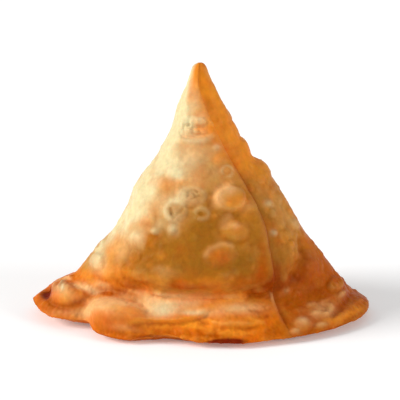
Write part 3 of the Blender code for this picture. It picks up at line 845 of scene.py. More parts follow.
    Tint("tan", 39.8, 10.8, 2.0, 2.0, 0.8),
    Tint("chestnut", 29.0, 8.4, 5.0, 3.0, 0.6),
    # Pale skin, and painted highlights on beads and small bubbles
    Tint("pale", -8.4, 54.6, 3.4, 4.0, 0.8),
    Tint("pale", -6.0, 63.0, 2.0, 6.0, 0.9),
    Tint("pale", -7.6, 49.6, 3.6, 2.4, 0.5),
    Tint("pale", -1.6, 50.4, 4.0, 4.0, 0.3),
    Tint("pale", -7.0, 46.8, 2.2, 1.8, 1.0),
    Tint("pale", -15.0, 40.0, 2.6, 2.6, 0.7),
    Tint("pale", -6.6, 39.4, 2.8, 1.6, 0.5),
    Tint("pale", -4.8, 41.6, 2.0, 1.6, 0.4),
    Tint("blush", -1.2, 56.2, 2.4, 1.8, 0.8),
    # Painted highlight on a bead
    Tint("pale", -5.4, 45.4, 1.2, 1.0, 0.4),
    Tint("pale", -19.5, 34.0, 2.0, 4.0, 0.6),
    Tint("pale", -13.0, 33.4, 1.8, 2.2, -0.35),
    Tint("pale", -17.6, 28.4, 2.2, 1.6, 0.35),
    Tint("pale", -30.0, 18.8, 2.6, 2.8, 0.8),
    Tint("pale", -29.4, 22.0, 2.0, 2.2, 0.4),
    Tint("pale", -26.0, 25.0, 1.8, 2.2, 0.3),
    Tint("pale", -25.0, 28.0, 2.6, 4.0, 0.5),
    Tint("pale", -3.6, 58.8, 2.4, 2.6, 0.55),
    Tint("pale", -2.0, 59.6, 1.4, 1.8, 0.35),
    Tint("pale", -3.2, 63.6, 1.8, 2.0, 0.4),
    Tint("pale", -2.1, 41.0, 3.0, 1.8, 0.15),
    # Painted highlights on beads and small bubbles
    Tint("pale", -7.5, 32.0, 1.3, 1.6, 0.5),
    Tint("pale", -12.5, 30.8, 1.2, 1.0, 0.3),
    Tint("blush", 8.9, 32.8, 1.2, 1.0, 0.5),
    Tint("pale", 19.2, 37.4, 1.2, 1.0, 0.3),
    Tint("pale", 20.6, 29.4, 0.9, 0.9, 0.45),
    Tint("pale", 27.6, 30.0, 0.9, 1.6, 0.35),
    Tint("pale", 4.0, 53.4, 0.9, 1.0, 0.4),
    Tint("blush", -1.2, 66.8, 1.5, 4.0, 0.9),
    Tint("blush", 0.0, 52.6, 4.4, 2.4, 0.5),
    Tint("blush", -3.4, 44.6, 4.0, 2.0, 0.5),
    Tint("blush", -2.6, 62.5, 2.0, 2.4, 0.5),
    Tint("blush", 0.6, 61.0, 1.4, 3.0, 0.5),
    Tint("blush", -12.0, 44.0, 2.8, 2.8, 0.4),
    Tint("honey", 8.4, 38.8, 2.8, 2.8, 0.4),
    Tint("blush", 12.0, 37.4, 2.0, 1.8, 0.25),
    Tint("honey", 9.8, 32.0, 2.6, 2.2, 0.35),
    Tint("tan", 8.0, 20.8, 2.8, 1.6, 0.4),
    Tint("blush", -9.4, 20.6, 3.0, 1.4, 0.25),
    # Scorched spots, and a painted shadow in the hollow of the left corner
    Tint("burnt", 8.2, 2.2, 3.8, 1.5, 1.5),
    Tint("burnt", 4.6, 1.5, 2.6, 0.9, 1.3),
    # Painted shadow in the hollow of the left corner
    Tint("burnt", -46.3, 7.6, 2.2, 1.9, 1.2),
    Tint("russet", -45.8, 7.8, 3.2, 2.6, 0.8),
)
TINT_REACH = 2.2  # how far from its middle a tint is worked out, in its half sizes

# The left flank, pale for a hardly browned crust and for a painted highlight where the key light falls:
# the share of the way from the axis to the left silhouette where it starts and where it is full, and
# the heights where it ends and where it is full
FLANK = (0.4, 1.0)
FLANK_LOW = (19, 35)
FLANK_BEHIND = (-0.1, 0.5)  # how far the skin faces backwards where it starts to fade, and is gone
FLANK_WAVER = 0.16  # how much the lumps move its edge, as a share of that way
FLANK_MOTTLE = 0.5  # and how much they change its strength

PRESSED_EDGE = 0.35  # the share of the wrap's edge that is left where the skirt is pinched
EDGE_SHADE = 1.0  # width of the line under the wrap's free edge: orange near the tip, painted shadow farther down
EDGE_RUSSET = 0.6  # and the strength of that painted shadow
EDGE_WAVER = 0.5  # how unevenly strong the lumps make it
EDGE_HAZE = 3.2  # width of the soft painted shade beside it
EDGE_UMBER = 0.8  # and its strength
EDGE_BROWN = (44, 54)  # heights between which the line under the edge turns from painted shadow to orange
EDGE_END = (3, 7)  # heights between which the free edge comes in, above the rim
SEAM_WIDTH = 0.5  # of the pale ridge along that edge on the skirt
SEAM_RISE = 0.3
SEAM_BLUSH = 0.6  # strength of its colour
SEAM_LOW = (7, 12)  # heights between which that ridge turns pale
SKIRT_TOP = (12, 17)  # heights over which the skirt's browning dies out
SKIRT_RIGHT = (18, 30)  # how far right it turns from orange to red-brown
RIGHT_WAVER = 2.0  # how far left and right the lumps move that turn
SKIRT_BROWN = 0.9  # strength of both
SKIRT_WAVER = 1.5  # how far up and down the lumps move the browning's upper edge
SKIRT_WAVER_BEHIND = 6  # and how far the broad lumps move it on the back

# Lumps of the whole crust: their size across and how far they move the skin
LUMPS = {11.0: 0.55, 4.5: 0.27, 1.8: 0.13, 0.8: 0.055}
SKIRT_GRAIN = 0.1  # how far the finest lumps move the crisp skirt besides
CREVICE_PASSES = 8  # rounds of smoothing that tell dips from bumps
CREVICE_SHADE = 2.0  # strength of the painted shade for each millimetre of dip
BUMP_PALE = 0.2  # and of the paling for each millimetre of bump
DEEPEST = 0.3  # dips deeper than this get no more painted shade
HIGHEST = 0.4  # nor do bumps higher than this pale more
POINT_ROOM = 6  # the lumps come in over this distance from the axis

# Chance spots of colour: how many, their least and greatest half size and strength, and the layers
# to choose from
CHANCE_LAYERS = ("tan", "umber", "umber", "amber", "honey", "chestnut")
CHANCE_TINTS = (800, (0.6, 2.8), (0.06, 0.34), CHANCE_LAYERS)
TINT_STRETCH = (0.8, 1.4)  # least and greatest width for a height of 1


class Skin:
    """The crust as it is worked on: a grid of bare points with a rise along their normals, and one
    share from 0 to 1 for each layer of colour."""

    def __init__(self, sizes, seed):
        self.sizes = sizes
        self.places = row_places(sizes)
        values = station_values(self.places)
        rows = [row_columns(sizes, row) for row in values]
        angles, wrap_lift, pleat_lift = (np.array(column) for column in zip(*rows))
        self.angles = angles
        self.points = ring_points(sizes, values, angles)
        ruffle_skirt(self.points, self.places, angles)
        self.normals = outward(self.points)
        self.flat = self.points.reshape(-1, 3)
        self.flat_normals = self.normals.reshape(-1, 3)
        self.rise = np.zeros(len(self.flat))
        self.layers = {name: np.zeros(len(self.flat)) for name in LAYERS}
        self.past_edge = self.distance_past_edge()
        self.chance = random.Random(seed)
        self.lumps = {size: self.lumpy(size, seed) for size in LUMPS}
        self.fold_up(wrap_lift, pleat_lift)

    def lumpy(self, size, seed):
        """Uneven numbers from -1 to 1 for every point, with lumps of about that size."""
        shifted = self.flat / size + seed
        return np.array([noise.noise(Vector(point)) for point in shifted])

    def distance_past_edge(self):
        """How far each point is past the wrap's free edge, on the side that the wrap covers."""
        steps = np.linalg.norm(np.diff(self.points, axis=1, append=self.points[:, :1]), axis=2)
        round_ring = np.cumsum(steps, axis=1) - steps
        from_edge = round_ring - round_ring[:, FOLD_EDGE : FOLD_EDGE + 1]
        length = steps.sum(axis=1, keepdims=True)
        return np.where(from_edge > length / 2, length - from_edge, -from_edge).ravel()

    def shade_edge(self):
        """The fold under the wrap's free edge: an orange line near the tip, and farther down a painted
        shadow line in russet with soft painted shade in umber beside it.
        """
        high = smooth_step(*EDGE_BROWN, self.flat[:, 2])
        width = EDGE_SHADE * (1 + high)
        deep = np.exp(-(((self.past_edge - width / 2) / width) ** 2))
        deep *= 1 + EDGE_WAVER * self.lumps[4.5]
        self.layers["amber"] += deep * high
        # Lower down the line is painted shadow in russet, and soft painted shade in umber lies beside
        # it
        low = smooth_step(*EDGE_END, self.flat[:, 2])
        self.layers["russet"] += EDGE_RUSSET * deep * (1 - high) * low
        haze = np.where(self.past_edge > 0, np.exp(-((self.past_edge / EDGE_HAZE) ** 2)), 0)
        self.layers["umber"] += EDGE_UMBER * haze * (1 - high) * low

    def brown_skirt(self):
        """The skirt has fried crisp: orange on the left and in front, red-brown on the right."""
        behind = self.flat[:, 1] > 0
        uneven = SKIRT_WAVER * self.lumps[4.5] + SKIRT_WAVER_BEHIND * self.lumps[11.0] * behind
        low = 1 - smooth_step(*SKIRT_TOP, self.flat[:, 2] + uneven)
        right = smooth_step(*SKIRT_RIGHT, self.flat[:, 0] + RIGHT_WAVER * self.lumps[4.5])
        self.layers["amber"] += SKIRT_BROWN * low * (1 - right)
        self.layers["chestnut"] += SKIRT_BROWN * low * right
        self.rise += SKIRT_GRAIN * self.lumps[0.8] * low
        seam = np.exp(-(((self.past_edge + SEAM_WIDTH) / SEAM_WIDTH) ** 2)) * low
        seam *= smooth_step(*EDGE_END, self.flat[:, 2])
        self.layers["blush"] += SEAM_BLUSH * seam * smooth_step(*SEAM_LOW, self.flat[:, 2])
        self.rise += SEAM_RISE * seam

    def fold_up(self, wrap_lift, pleat_lift):
        """The step of one dough's thickness at the wrap's free edge and at the back pleat."""
        on_top = 1 - smooth_step(PLACE["rim_top"], PLACE["underside"], self.places)
        low = 1 - smooth_step(PLEAT_TOP / 3, PLEAT_TOP, self.points[..., 2])
        pressed = PRESSED_EDGE + (1 - PRESSED_EDGE) * smooth_step(*SKIRT_TOP, self.points[..., 2])
        pressed *= smooth_step(*EDGE_END, self.points[..., 2])
        layers = (wrap_lift * pressed + pleat_lift * low) * on_top[:, None]
        self.rise += (self.sizes.dough * layers).ravel()

    def uneven(self):
        """Broad and fine lumps all over, which die out near the axis: at the point and in the middle of
        the sole.
        """
        room = smooth_step(0, POINT_ROOM, np.hypot(self.flat[:, 0], self.flat[:, 1]))
        for size, height in LUMPS.items():
            self.rise += height * self.lumps[size] * room

    def nearest(self, across, up, behind=False):
        """The index of the bare point nearest to a place on the front, or on the back."""
        off = np.hypot(self.flat[:, 0] - across, self.flat[:, 2] - up)
        facing = self.flat_normals[:, 1] if behind else -self.flat_normals[:, 1]
        hidden = (facing < TURNED_AWAY) | (self.flat_normals[:, 2] < UNDERNEATH)
        return int(np.argmin(off + FAR * hidden))

    def around(self, middle, half_width, half_height, reach):
        """The points near a middle, and how far each is from it, in half sizes. The width is
        measured level along the skin, the height up the slope, and lumps make the edge uneven."""
        apart = self.flat - self.flat[middle]
        normal = self.flat_normals[middle]
        level = np.cross((0, 0, 1), normal)
        level /= np.linalg.norm(level)
        slope = np.cross(normal, level)
        limit = reach * max(half_width, half_height)
        near = np.flatnonzero((np.abs(apart) < limit).all(axis=1))
        near = near[self.flat_normals[near] @ normal > SAME_SIDE]
        apart = apart[near]
        wide, high = apart @ level, apart @ slope
        off_plane = apart @ normal
        radius = np.sqrt((wide / half_width) ** 2 + (high**2 + off_plane**2) / half_height**2)
        lump = min(LUMPS, key=lambda size: abs(size - LUMP_SHARE * (half_width + half_height)))
        return near, radius * (1 + RAGGED * self.lumps[lump][near])

    def swell(self, middle, kind, half_width, half_height, rise):
        """One bubble round a point. A ring is paler where it stands up and browner in its middle."""
        near, radius = self.around(middle, half_width, half_height, BLISTER_REACH)
        height = SHAPES[kind](radius)
        if kind == "crumple":
            crumbs = self.flat[near] / CRUMB
            gaps = np.array([abs(noise.noise(Vector(point))) for point in crumbs])
            height = height * (1 - CRUMB_GAP * gaps)
        self.rise[near] += height * rise
        if kind == "ring":
            self.layers["amber"][near] += RING_BROWN * np.exp(-((radius / RING_HOLE) ** 2))
            self.layers["pale"][near] += RING_PALE * np.clip(height, 0, 1)

    def true_width(self, middle, seen_width):
        """How wide along the skin a spot is that looks that wide from the front or the back."""
        return seen_width / max(STEEPEST, abs(self.flat_normals[middle, 1]))

    def blister(self, spot):
        middle = self.nearest(spot.across, spot.up, spot.behind)
        width = self.true_width(middle, spot.half_width)
        self.swell(middle, spot.kind, width, spot.half_height, spot.rise)

    def chance_bubbles(self, count, least, greatest, steepness, behind):
        """Bubbles wherever chance puts them on the front or on the back, mostly small ones."""
        facing = self.flat_normals[:, 1] if behind else -self.flat_normals[:, 1]
        height = self.flat[:, 2]
        open_skin = (height > CHANCE_LOW) & (height < CHANCE_HIGH * self.sizes.height)
        open_skin &= (facing > CHANCE_FACING) & (self.flat_normals[:, 2] > CHANCE_SLOPE)
        choices = np.flatnonzero(open_skin)
        for _ in range(count):
            middle = choices[self.chance.randrange(len(choices))]
            size = least + (greatest - least) * self.chance.random() ** CHANCE_POWER
            kind = self.chance.choice(("dome", "dome", "bead", "plateau"))
            longer = self.chance.uniform(*CHANCE_STRETCH)
            self.swell(middle, kind, size * longer, size, steepness * size**CHANCE_BULGE)
            near, radius = self.around(middle, size * longer, size, BLISTER_REACH)
            self.layers[self.chance.choice(BUBBLE_LAYERS)][near] += BUBBLE_COLOUR * np.exp(-(radius**2))
            # Painted shade in umber round the bubble's foot
            foot = np.exp(-(((radius - FOOT_AT) / FOOT_WIDTH) ** 2))
            self.layers["umber"][near] += BUBBLE_FOOT_SHADE * foot

    def line_through(self, line):
        """A smooth line on the front's skin through places that are across and up."""
        knots = self.flat[[self.nearest(across, up) for across, up in line]]
        knots = np.concatenate([knots[:1], knots, knots[-1:]])
        share = np.arange(STROKE_CURVE)[:, None] / STROKE_CURVE
        pieces = []
        for p0, p1, p2, p3 in zip(knots, knots[1:], knots[2:], knots[3:]):
            square = (2 * p0 - 5 * p1 + 4 * p2 - p3) * share**2
            cube = (3 * p1 - p0 - 3 * p2 + p3) * share**3
            pieces.append(0.5 * (2 * p1 + (p2 - p0) * share + square + cube))
        return np.concatenate([*pieces, knots[-1:]])

    def along(self, path, reach):
        """The points near a path, with their distance from it, how far they are above it, and the
        share of the path's length where they are nearest to it."""
        low, high = path.min(axis=0) - reach, path.max(axis=0) + reach
        near = np.flatnonzero(((self.flat > low) & (self.flat < high)).all(axis=1))
        points = self.flat[near]
        distance = np.full(len(near), np.inf)
        above, share = np.zeros(len(near)), np.zeros(len(near))
        for index, (start, end) in enumerate(zip(path, path[1:])):
            piece = end - start
            part = np.clip((points - start) @ piece / max(piece @ piece, 1e-9), 0, 1)
            closest = start + part[:, None] * piece
            apart = np.linalg.norm(points - closest, axis=1)
            nearer = apart < distance
            distance[nearer] = apart[nearer]
            above[nearer] = (points[:, 2] - closest[:, 2])[nearer]
            share[nearer] = (index + part[nearer]) / (len(path) - 1)
        return near, distance, above, share

    def stroke(self, crease):
        path = self.line_through(crease.line)
        near, distance, above, share = self.along(path, 2.5 * STEP_REACH)
        distance = distance * (1 + STROKE_WAVER * self.lumps[1.8][near])
        taper = smooth_step(0, STROKE_TAPER, share) * smooth_step(0, STROKE_TAPER, 1 - share)
        self.rise[near] += crease.rise * taper * np.exp(-((distance / crease.half_width) ** 2))
        below = smooth_step(-crease.half_width, crease.half_width, -above)
        self.rise[near] += crease.step * taper * below * np.exp(-((distance / STEP_REACH) ** 2))
        colour = taper * np.exp(-((distance / (crease.half_width * crease.spread)) ** 2))
        self.layers[crease.layer][near] += crease.strength * colour

    def tint(self, spot):
        middle = self.nearest(spot.across, spot.up, spot.behind)
        width = self.true_width(middle, spot.half_width)
        near, radius = self.around(middle, width, spot.half_height, TINT_REACH)
        self.layers[spot.layer][near] += spot.strength * np.exp(-(radius**2))

    def chance_tints(self, count, sizes, strengths, layers):
        """Small soft spots of colour all over the crust."""
        for _ in range(count):
            middle = self.chance.randrange(len(self.flat))
            size = self.chance.uniform(*sizes)
            width = size * self.chance.uniform(*TINT_STRETCH)
            near, radius = self.around(middle, width, size, TINT_REACH)
            spot = self.chance.uniform(*strengths) * np.exp(-(radius**2))
            self.layers[self.chance.choice(layers)][near] += spot

    def pale_lit_flank(self):
        """The left of the cone is painted pale: its crust has browned least, and a painted highlight
        lies where the key light falls.
        """
        reach = -np.minimum(self.points[..., 0], 0) / -self.points[..., 0].min(axis=1, keepdims=True)
        share = smooth_step(*FLANK, reach.ravel() + FLANK_WAVER * self.lumps[4.5])
        share *= smooth_step(*FLANK_LOW, self.flat[:, 2]) * (1 + FLANK_MOTTLE * self.lumps[4.5])
        self.layers["pale"] += share * (1 - smooth_step(*FLANK_BEHIND, self.flat_normals[:, 1]))

    def shade_crevices(self):
        """Painted shade in the dips, in umber, amber near the tip and chestnut on the skirt, and pale
        added on the bumps, by how far each point is from its smoothed self.
        """
        rough = self.rise.reshape(self.angles.shape)
        even = rough
        for _ in range(CREVICE_PASSES):
            even = (np.roll(even, 1, axis=1) + 2 * even + np.roll(even, -1, axis=1)) / 4
            padded = np.concatenate([even[:1], even, even[-1:]])
            even = (padded[:-2] + 2 * padded[1:-1] + padded[2:]) / 4
        dip = (even - rough).ravel()
        low = 1 - smooth_step(*SKIRT_TOP, self.flat[:, 2])
        high = smooth_step(*EDGE_BROWN, self.flat[:, 2])
        # Painted shade in the dips
        brown = CREVICE_SHADE * np.clip(dip, 0, DEEPEST)
        self.layers["umber"] += brown * (1 - low) * (1 - high)
        self.layers["amber"] += brown * high
        self.layers["chestnut"] += brown * low
        self.layers["pale"] += BUMP_PALE * np.clip(-dip, 0, HIGHEST)

    def settle(self):
        """The finished points, resting on the table with the footprint's middle at the origin."""
        points = self.points + self.normals * self.rise.reshape(self.angles.shape)[..., None]
        points[..., 2] = np.maximum(points[..., 2], 0.0)
        flat = points.reshape(-1, 3)
        points[..., :2] -= (flat.min(axis=0) + flat.max(axis=0))[:2] / 2
        return points


COARSEST = 8  # near the tip and on the sole only every eighth column is kept
COLUMN_SPACING = 0.36  # a ring keeps so many columns that its front ones are at most this far apart


def kept_columns(points):
    """Which columns each ring keeps. The columns across the folds are kept on every ring."""
    rows, columns = points.shape[:2]
    folds = np.zeros(columns, bool)
    pleat = len(FOLD) + WRAP_COLUMNS + BACK_COLUMNS - 1
    folds[: len(FOLD)] = True
    folds[pleat : pleat + len(FOLD)] = True
    kept = []
    for row in range(rows):
        front = points[row, len(FOLD) : len(FOLD) + WRAP_COLUMNS]
        spacing = np.linalg.norm(np.diff(front, axis=0), axis=1).mean()
        step = 1
        while step < COARSEST and spacing * step * 2 < COLUMN_SPACING:
            step *= 2
        if row > rows - SOLE_ROWS:
            step = COARSEST
        kept.append(folds | (np.arange(columns) % step == 0))
    return kept


def skin_faces(points):
    """Faces between the rings. Where one ring keeps fewer columns than the next, a face takes in
    all the points that the finer ring has beside it."""
    rows, columns = points.shape[:2]
    kept = kept_columns(points)
    faces = [(np.flatnonzero(kept[0])).tolist()]
    for row in range(rows - 1):
        corners = np.flatnonzero(kept[row] & kept[row + 1])
        for first, last in zip(corners, [*corners[1:], corners[0] + columns]):
            across = [column % columns for column in range(first, last + 1)]
            upper = [row * columns + column for column in across if kept[row][column]]
            lower = [(row + 1) * columns + column for column in across if kept[row + 1][column]]
            faces.append([*upper[::-1], *lower])
    faces.append([(rows - 1) * columns + column for column in np.flatnonzero(kept[-1])[::-1]])
    return faces, np.concatenate(kept)


def skin_mesh(name, skin):
    """The skin's mesh, closed by one face at the tip and one in the middle of the sole."""
    points = skin.settle()
    faces, used = skin_faces(points)
    renumbered = np.cumsum(used) - 1
    mesh = bpy.data.meshes.new(name)
    corners = [[int(renumbered[corner]) for corner in face] for face in faces]
    mesh.from_pydata((points.reshape(-1, 3)[used] * MM).tolist(), [], corners)
    for layer, shares in skin.layers.items():
        values = shares[used].astype(np.float32)
        mesh.attributes.new(layer, "FLOAT", "POINT").data.foreach_set("value", values)
    mesh.shade_smooth()
    mesh.update()
    return mesh


def crust_skin(shape):
    """The whole worked skin for the panel's sizes."""
    sizes = Sizes(
        half_width=shape.width / 2 / MM,
        height=shape.height / MM,
        front=FRONT_SHARE * shape.depth / MM,
        back=BACK_SHARE * shape.depth / MM,
        dough=shape.dough / MM,
    )
    skin = Skin(sizes, shape.seed)
    skin.uneven()
    skin.pale_lit_flank()
    skin.brown_skirt()
    skin.shade_edge()
    for crease in STROKES.values():
        skin.stroke(crease)
    for spot in BLISTERS:
        skin.blister(spot)
    skin.chance_bubbles(*FRONT_CHANCE, behind=False)
    skin.chance_bubbles(*BACK_CHANCE, behind=True)
    for spot in TINTS:
        skin.tint(spot)
    skin.chance_tints(*CHANCE_TINTS)
    skin.shade_crevices()
    return skin


# ---------------------------------------------------------------------------------------------
# The crust's finish


class Graph:
    """Adds nodes to a material and links them by name."""

    def __init__(self, name):
        self.material = bpy.data.materials.new(name)
        self.material.use_nodes = True
        self.nodes = self.material.node_tree.nodes
        self.links = self.material.node_tree.links
        self.surface = self.nodes["Principled BSDF"]

    def add(self, kind, inputs=(), **settings):
        node = self.nodes.new(kind)
        for key, value in settings.items():
            setattr(node, key, value)
        for socket, value in dict(inputs).items():
            if isinstance(value, bpy.types.NodeSocket):
                self.links.new(value, node.inputs[socket])
            else:
                node.inputs[socket].default_value = value
        return node

    def math(self, operation, first, second, third=0.0, clamp=False):
        inputs = {0: first, 1: second, 2: third}
        return self.add("ShaderNodeMath", inputs, operation=operation, use_clamp=clamp).outputs[0]

    def mix(self, share, under, over):
        inputs = {"Factor": share, 6: under, 7: over}
        return self.add("ShaderNodeMix", inputs, data_type="RGBA").outputs[2]

    def attribute(self, name):
        return self.add("ShaderNodeAttribute", attribute_name=name).outputs["Fac"]

    def noises(self, place, scale, detail):
        """Three noises of one scale that don't depend on one another."""
        inputs = {"Vector": place, "Scale": scale, "Detail": detail}
        mixed = self.add("ShaderNodeTexNoise", inputs).outputs["Color"]
        return list(self.add("ShaderNodeSeparateColor", {"Color": mixed}).outputs)

    def noise(self, place, scale, detail):
        inputs = {"Vector": place, "Scale": scale, "Detail": detail}
        return self.add("ShaderNodeTexNoise", inputs).outputs[0]


# Scales of the finish's noises, for each metre
BROAD_SCALE = 110
CLOSE_SCALE = 380
MOTTLE_SCALE = 700
GRAIN_SCALE = 1100
GRAIN_HEIGHT = 0.00014
GRAIN_STRENGTH = 0.6
# How the broad noise sets the share of tan in the plain crust, and the close one that of honey:
# how steeply, and what is added
DULL = (1.6, -0.65)
BRIGHT = (1.0, -0.4)
# A layer shows this strongly where both noises are nil, and the close noise counts this much
LAYER_LEAST = 0.1
LAYER_CLOSE = 0.8
HUE_SHIFT = 0.02  # how far the close noise turns the hue
MOTTLE = 0.42  # how much the mottling changes the brightness
# The share of the burnt layer where it begins to show and the one where it is full
BURNT_EDGE = (0.25, 1.0)


def crust_finish(colours):
    graph = Graph("fried_crust")
    place = graph.add("ShaderNodeTexCoord").outputs["Object"]
    broad = graph.noises(place, BROAD_SCALE, 3)
    close = graph.noises(place, CLOSE_SCALE, 3)
    grain = graph.noise(place, GRAIN_SCALE, 3)
    dull = graph.math("MULTIPLY_ADD", broad[0], *DULL, clamp=True)
    bright = graph.math("MULTIPLY_ADD", close[0], *BRIGHT, clamp=True)
    colour = graph.mix(dull, (*colours.golden, 1.0), (*colours.tan, 1.0))
    colour = graph.mix(bright, colour, (*colours.honey, 1.0))
    for index, layer in enumerate(LAYERS):
        spread = graph.math("ADD", broad[index % 3], LAYER_LEAST)
        spread = graph.math("MULTIPLY_ADD", close[(index + 1) % 3], LAYER_CLOSE, spread)
        share = graph.math("MULTIPLY", graph.attribute(layer), spread, clamp=True)
        if layer == "burnt":
            edge = {"Value": share, "From Min": BURNT_EDGE[0], "From Max": BURNT_EDGE[1]}
            share = graph.add("ShaderNodeMapRange", edge, interpolation_type="SMOOTHSTEP").outputs[0]
        colour = graph.mix(share, colour, (*getattr(colours, layer), 1.0))
    mottle = graph.noise(place, MOTTLE_SCALE, 4)
    uneven = {
        "Color": colour,
        "Hue": graph.math("MULTIPLY_ADD", close[1], HUE_SHIFT, 0.5 - HUE_SHIFT / 2),
        "Value": graph.math("MULTIPLY_ADD", mottle, MOTTLE, 1 - MOTTLE / 2),
    }
    colour = graph.add("ShaderNodeHueSaturation", uneven).outputs[0]
    graph.links.new(colour, graph.surface.inputs["Base Color"])
    relief = {"Height": grain, "Strength": GRAIN_STRENGTH, "Distance": GRAIN_HEIGHT}
    bump = graph.add("ShaderNodeBump", relief)
    graph.links.new(bump.outputs[0], graph.surface.inputs["Normal"])
    graph.surface.inputs["Roughness"].default_value = 0.42
    graph.surface.inputs["Specular IOR Level"].default_value = 0.1
    graph.surface.inputs["Specular Tint"].default_value = (1.0, 0.7, 0.35, 1.0)
    graph.surface.inputs["Subsurface Weight"].default_value = 0.1
    graph.surface.inputs["Subsurface Scale"].default_value = 0.002
    return graph.material


# ---------------------------------------------------------------------------------------------
# The add-on


class SamosaShape(bpy.types.PropertyGroup):
    width: FloatProperty(
        name="Width",
        description="Left corner to right corner",
        default=SOLID_SIZE.x,
        subtype="DISTANCE",
    )
    depth: FloatProperty(
        name="Depth",
        description="Front of the skirt to the back",
        default=SOLID_SIZE.y,
        subtype="DISTANCE",
    )
    height: FloatProperty(
        name="Height",
        description="Table to tip",
        default=SOLID_SIZE.z,
        subtype="DISTANCE",
    )
    dough: FloatProperty(
        name="Dough",
        description="Thickness of one layer of pastry at the wrap's edge",
        default=0.0015,
        subtype="DISTANCE",
    )
    seed: IntProperty(
        name="Seed", description="Sets where the chance bubbles and lumps fall", default=7
    )


def colour_property(name, description, colour):
    return FloatVectorProperty(
        name=name, description=description, default=colour, subtype="COLOR", size=3
    )


class SamosaColours(bpy.types.PropertyGroup):
    # Besides their own colour, umber, amber, chestnut and russet carry painted shade in dips, creases
    # and folds and beside the wrap's edge, burnt carries a painted shadow in the left corner's hollow,
    # and pale, blush and honey carry painted highlights
    golden: colour_property("Golden", "The crust's usual golden brown", (0.46, 0.18, 0.016))
    tan: colour_property("Tan", "Duller, thicker dough", (0.53, 0.275, 0.085))
    umber: colour_property("Umber", "Olive brown of the belly", (0.31, 0.11, 0.008))
    amber: colour_property("Amber", "Crisp orange crust", (0.65, 0.140, 0.003))
    honey: colour_property("Honey", "Bright, thin orange crust", (0.75, 0.235, 0.016))
    chestnut: colour_property("Chestnut", "Well fried, red-brown crust", (0.42, 0.083, 0.001))
    blush: colour_property("Blush", "Thin, pinkish skin", (0.75, 0.38, 0.14))
    pale: colour_property("Pale", "Dough that has hardly browned", (0.69, 0.56, 0.3))
    russet: colour_property("Russet", "Deep browning in folds", (0.28, 0.045, 0.001))
    burnt: colour_property("Burnt", "Scorched spots", (0.17, 0.012, 0.001))


SUN_SPREAD = 28  # the width of a sun in degrees, for soft shadows
KEY_FROM = (-0.90, -0.20, 0.50)  # where each sun shines from
SIDE_FROM = (0.86, -0.36, 0.36)
CAMERA_AIM = (-0.0003, 0, 0.0352)  # the place that the camera looks at, in metres
SENSOR_WIDTH = 36  # of the camera, in millimetres


class SamosaStage(bpy.types.PropertyGroup):
    floor_size: FloatProperty(
        name="Floor", description="Width of the floor", default=8.0, subtype="DISTANCE"
    )
    elevation: FloatProperty(
        name="Camera elevation",
        description="Angle above the table",
        default=math.radians(16),
        subtype="ANGLE",
    )
    distance: FloatProperty(
        name="Camera distance", description="Camera to samosa", default=0.328, subtype="DISTANCE"
    )
    lens: FloatProperty(name="Lens", description="Focal length in millimetres", default=100.0)
    key: FloatProperty(
        name="Key light", description="Strength of the soft sun on the left", default=2.9
    )
    side: FloatProperty(
        name="Side light", description="Strength of the soft sun on the right", default=1.15
    )
    fill: FloatProperty(
        name="Fill light", description="Strength of the light from all round", default=0.46
    )


class SamosaSettings(bpy.types.PropertyGroup):
    shape: PointerProperty(type=SamosaShape)
    colours: PointerProperty(type=SamosaColours)
    stage: PointerProperty(type=SamosaStage)


class SAMOSA_OT_crust(bpy.types.Operator):
    """Make the fried crust"""

    bl_idname = "samosa.crust"
    bl_label = "Fried crust"
    bl_options = {"REGISTER", "UNDO"}

    def execute(self, context):
        settings = context.scene.samosa
        mesh = skin_mesh("crust", crust_skin(settings.shape))
        mesh.materials.append(crust_finish(settings.colours))
        crust = bpy.data.objects.new("crust", mesh)
        context.scene.collection.objects.link(crust)
        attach(crust, BODY)
        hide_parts(NODE)
        return {"FINISHED"}


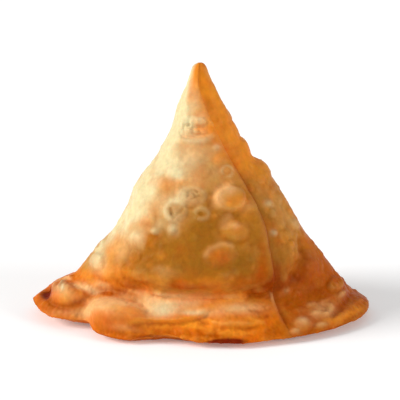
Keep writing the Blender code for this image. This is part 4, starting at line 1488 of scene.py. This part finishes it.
class SAMOSA_OT_stage(bpy.types.Operator):
    """Make the floor, the lights and the camera"""

    bl_idname = "samosa.stage"
    bl_label = "Studio stage"
    bl_options = {"REGISTER", "UNDO"}

    def execute(self, context):
        stage = context.scene.samosa.stage
        self.floor(context, stage)
        self.lights(context, stage)
        self.camera(context, stage)
        return {"FINISHED"}

    def floor(self, context, stage):
        bpy.ops.mesh.primitive_plane_add(size=stage.floor_size)
        floor = context.object
        floor.name = "floor"
        graph = Graph("pale_floor")
        graph.surface.inputs["Base Color"].default_value = (0.9, 0.9, 0.9, 1)
        graph.surface.inputs["Roughness"].default_value = 0.9
        graph.surface.inputs["Emission Color"].default_value = (1, 1, 1, 1)
        graph.surface.inputs["Emission Strength"].default_value = 0.15
        floor.data.materials.append(graph.material)

    def lights(self, context, stage):
        for name, energy, direction in (
            ("key", stage.key, KEY_FROM),
            ("side", stage.side, SIDE_FROM),
        ):
            sun = bpy.data.objects.new(name, bpy.data.lights.new(name, "SUN"))
            sun.data.energy = energy
            sun.data.angle = math.radians(SUN_SPREAD)
            sun.rotation_euler = Vector(direction).to_track_quat("Z", "Y").to_euler()
            context.scene.collection.objects.link(sun)
        world = bpy.data.worlds.new("studio")
        world.use_nodes = True
        world.node_tree.nodes["Background"].inputs["Color"].default_value = (1, 1, 1, 1)
        world.node_tree.nodes["Background"].inputs["Strength"].default_value = stage.fill
        context.scene.world = world

    def camera(self, context, stage):
        camera = bpy.data.objects.new("camera", bpy.data.cameras.new("camera"))
        camera.data.lens = stage.lens
        camera.data.sensor_width = SENSOR_WIDTH
        back = Vector((0, -math.cos(stage.elevation), math.sin(stage.elevation)))
        camera.location = Vector(CAMERA_AIM) + back * stage.distance
        camera.rotation_euler = back.to_track_quat("Z", "Y").to_euler()
        context.scene.collection.objects.link(camera)
        context.scene.camera = camera
        context.scene.view_settings.view_transform = "Standard"


class SAMOSA_PT_panel(bpy.types.Panel):
    bl_idname = "SAMOSA_PT_panel"
    bl_label = "Samosa"
    bl_space_type = "VIEW_3D"
    bl_region_type = "UI"
    bl_category = "Samosa"

    def draw(self, context):
        settings = context.scene.samosa
        for group in (settings.shape, settings.colours, settings.stage):
            box = self.layout.box()
            for name in group.__annotations__:
                box.prop(group, name)
        self.layout.operator(SAMOSA_OT_crust.bl_idname)
        self.layout.operator(SAMOSA_OT_stage.bl_idname)


CLASSES = (
    SamosaShape,
    SamosaColours,
    SamosaStage,
    SamosaSettings,
    SAMOSA_OT_crust,
    SAMOSA_OT_stage,
    SAMOSA_PT_panel,
)


def register():
    for made in CLASSES:
        bpy.utils.register_class(made)
    bpy.types.Scene.samosa = PointerProperty(type=SamosaSettings)


def unregister():
    del bpy.types.Scene.samosa
    for made in reversed(CLASSES):
        bpy.utils.unregister_class(made)


def main():
    register()
    bpy.ops.samosa.crust()
    bpy.ops.samosa.stage()


if __name__ == "__main__":
    main()
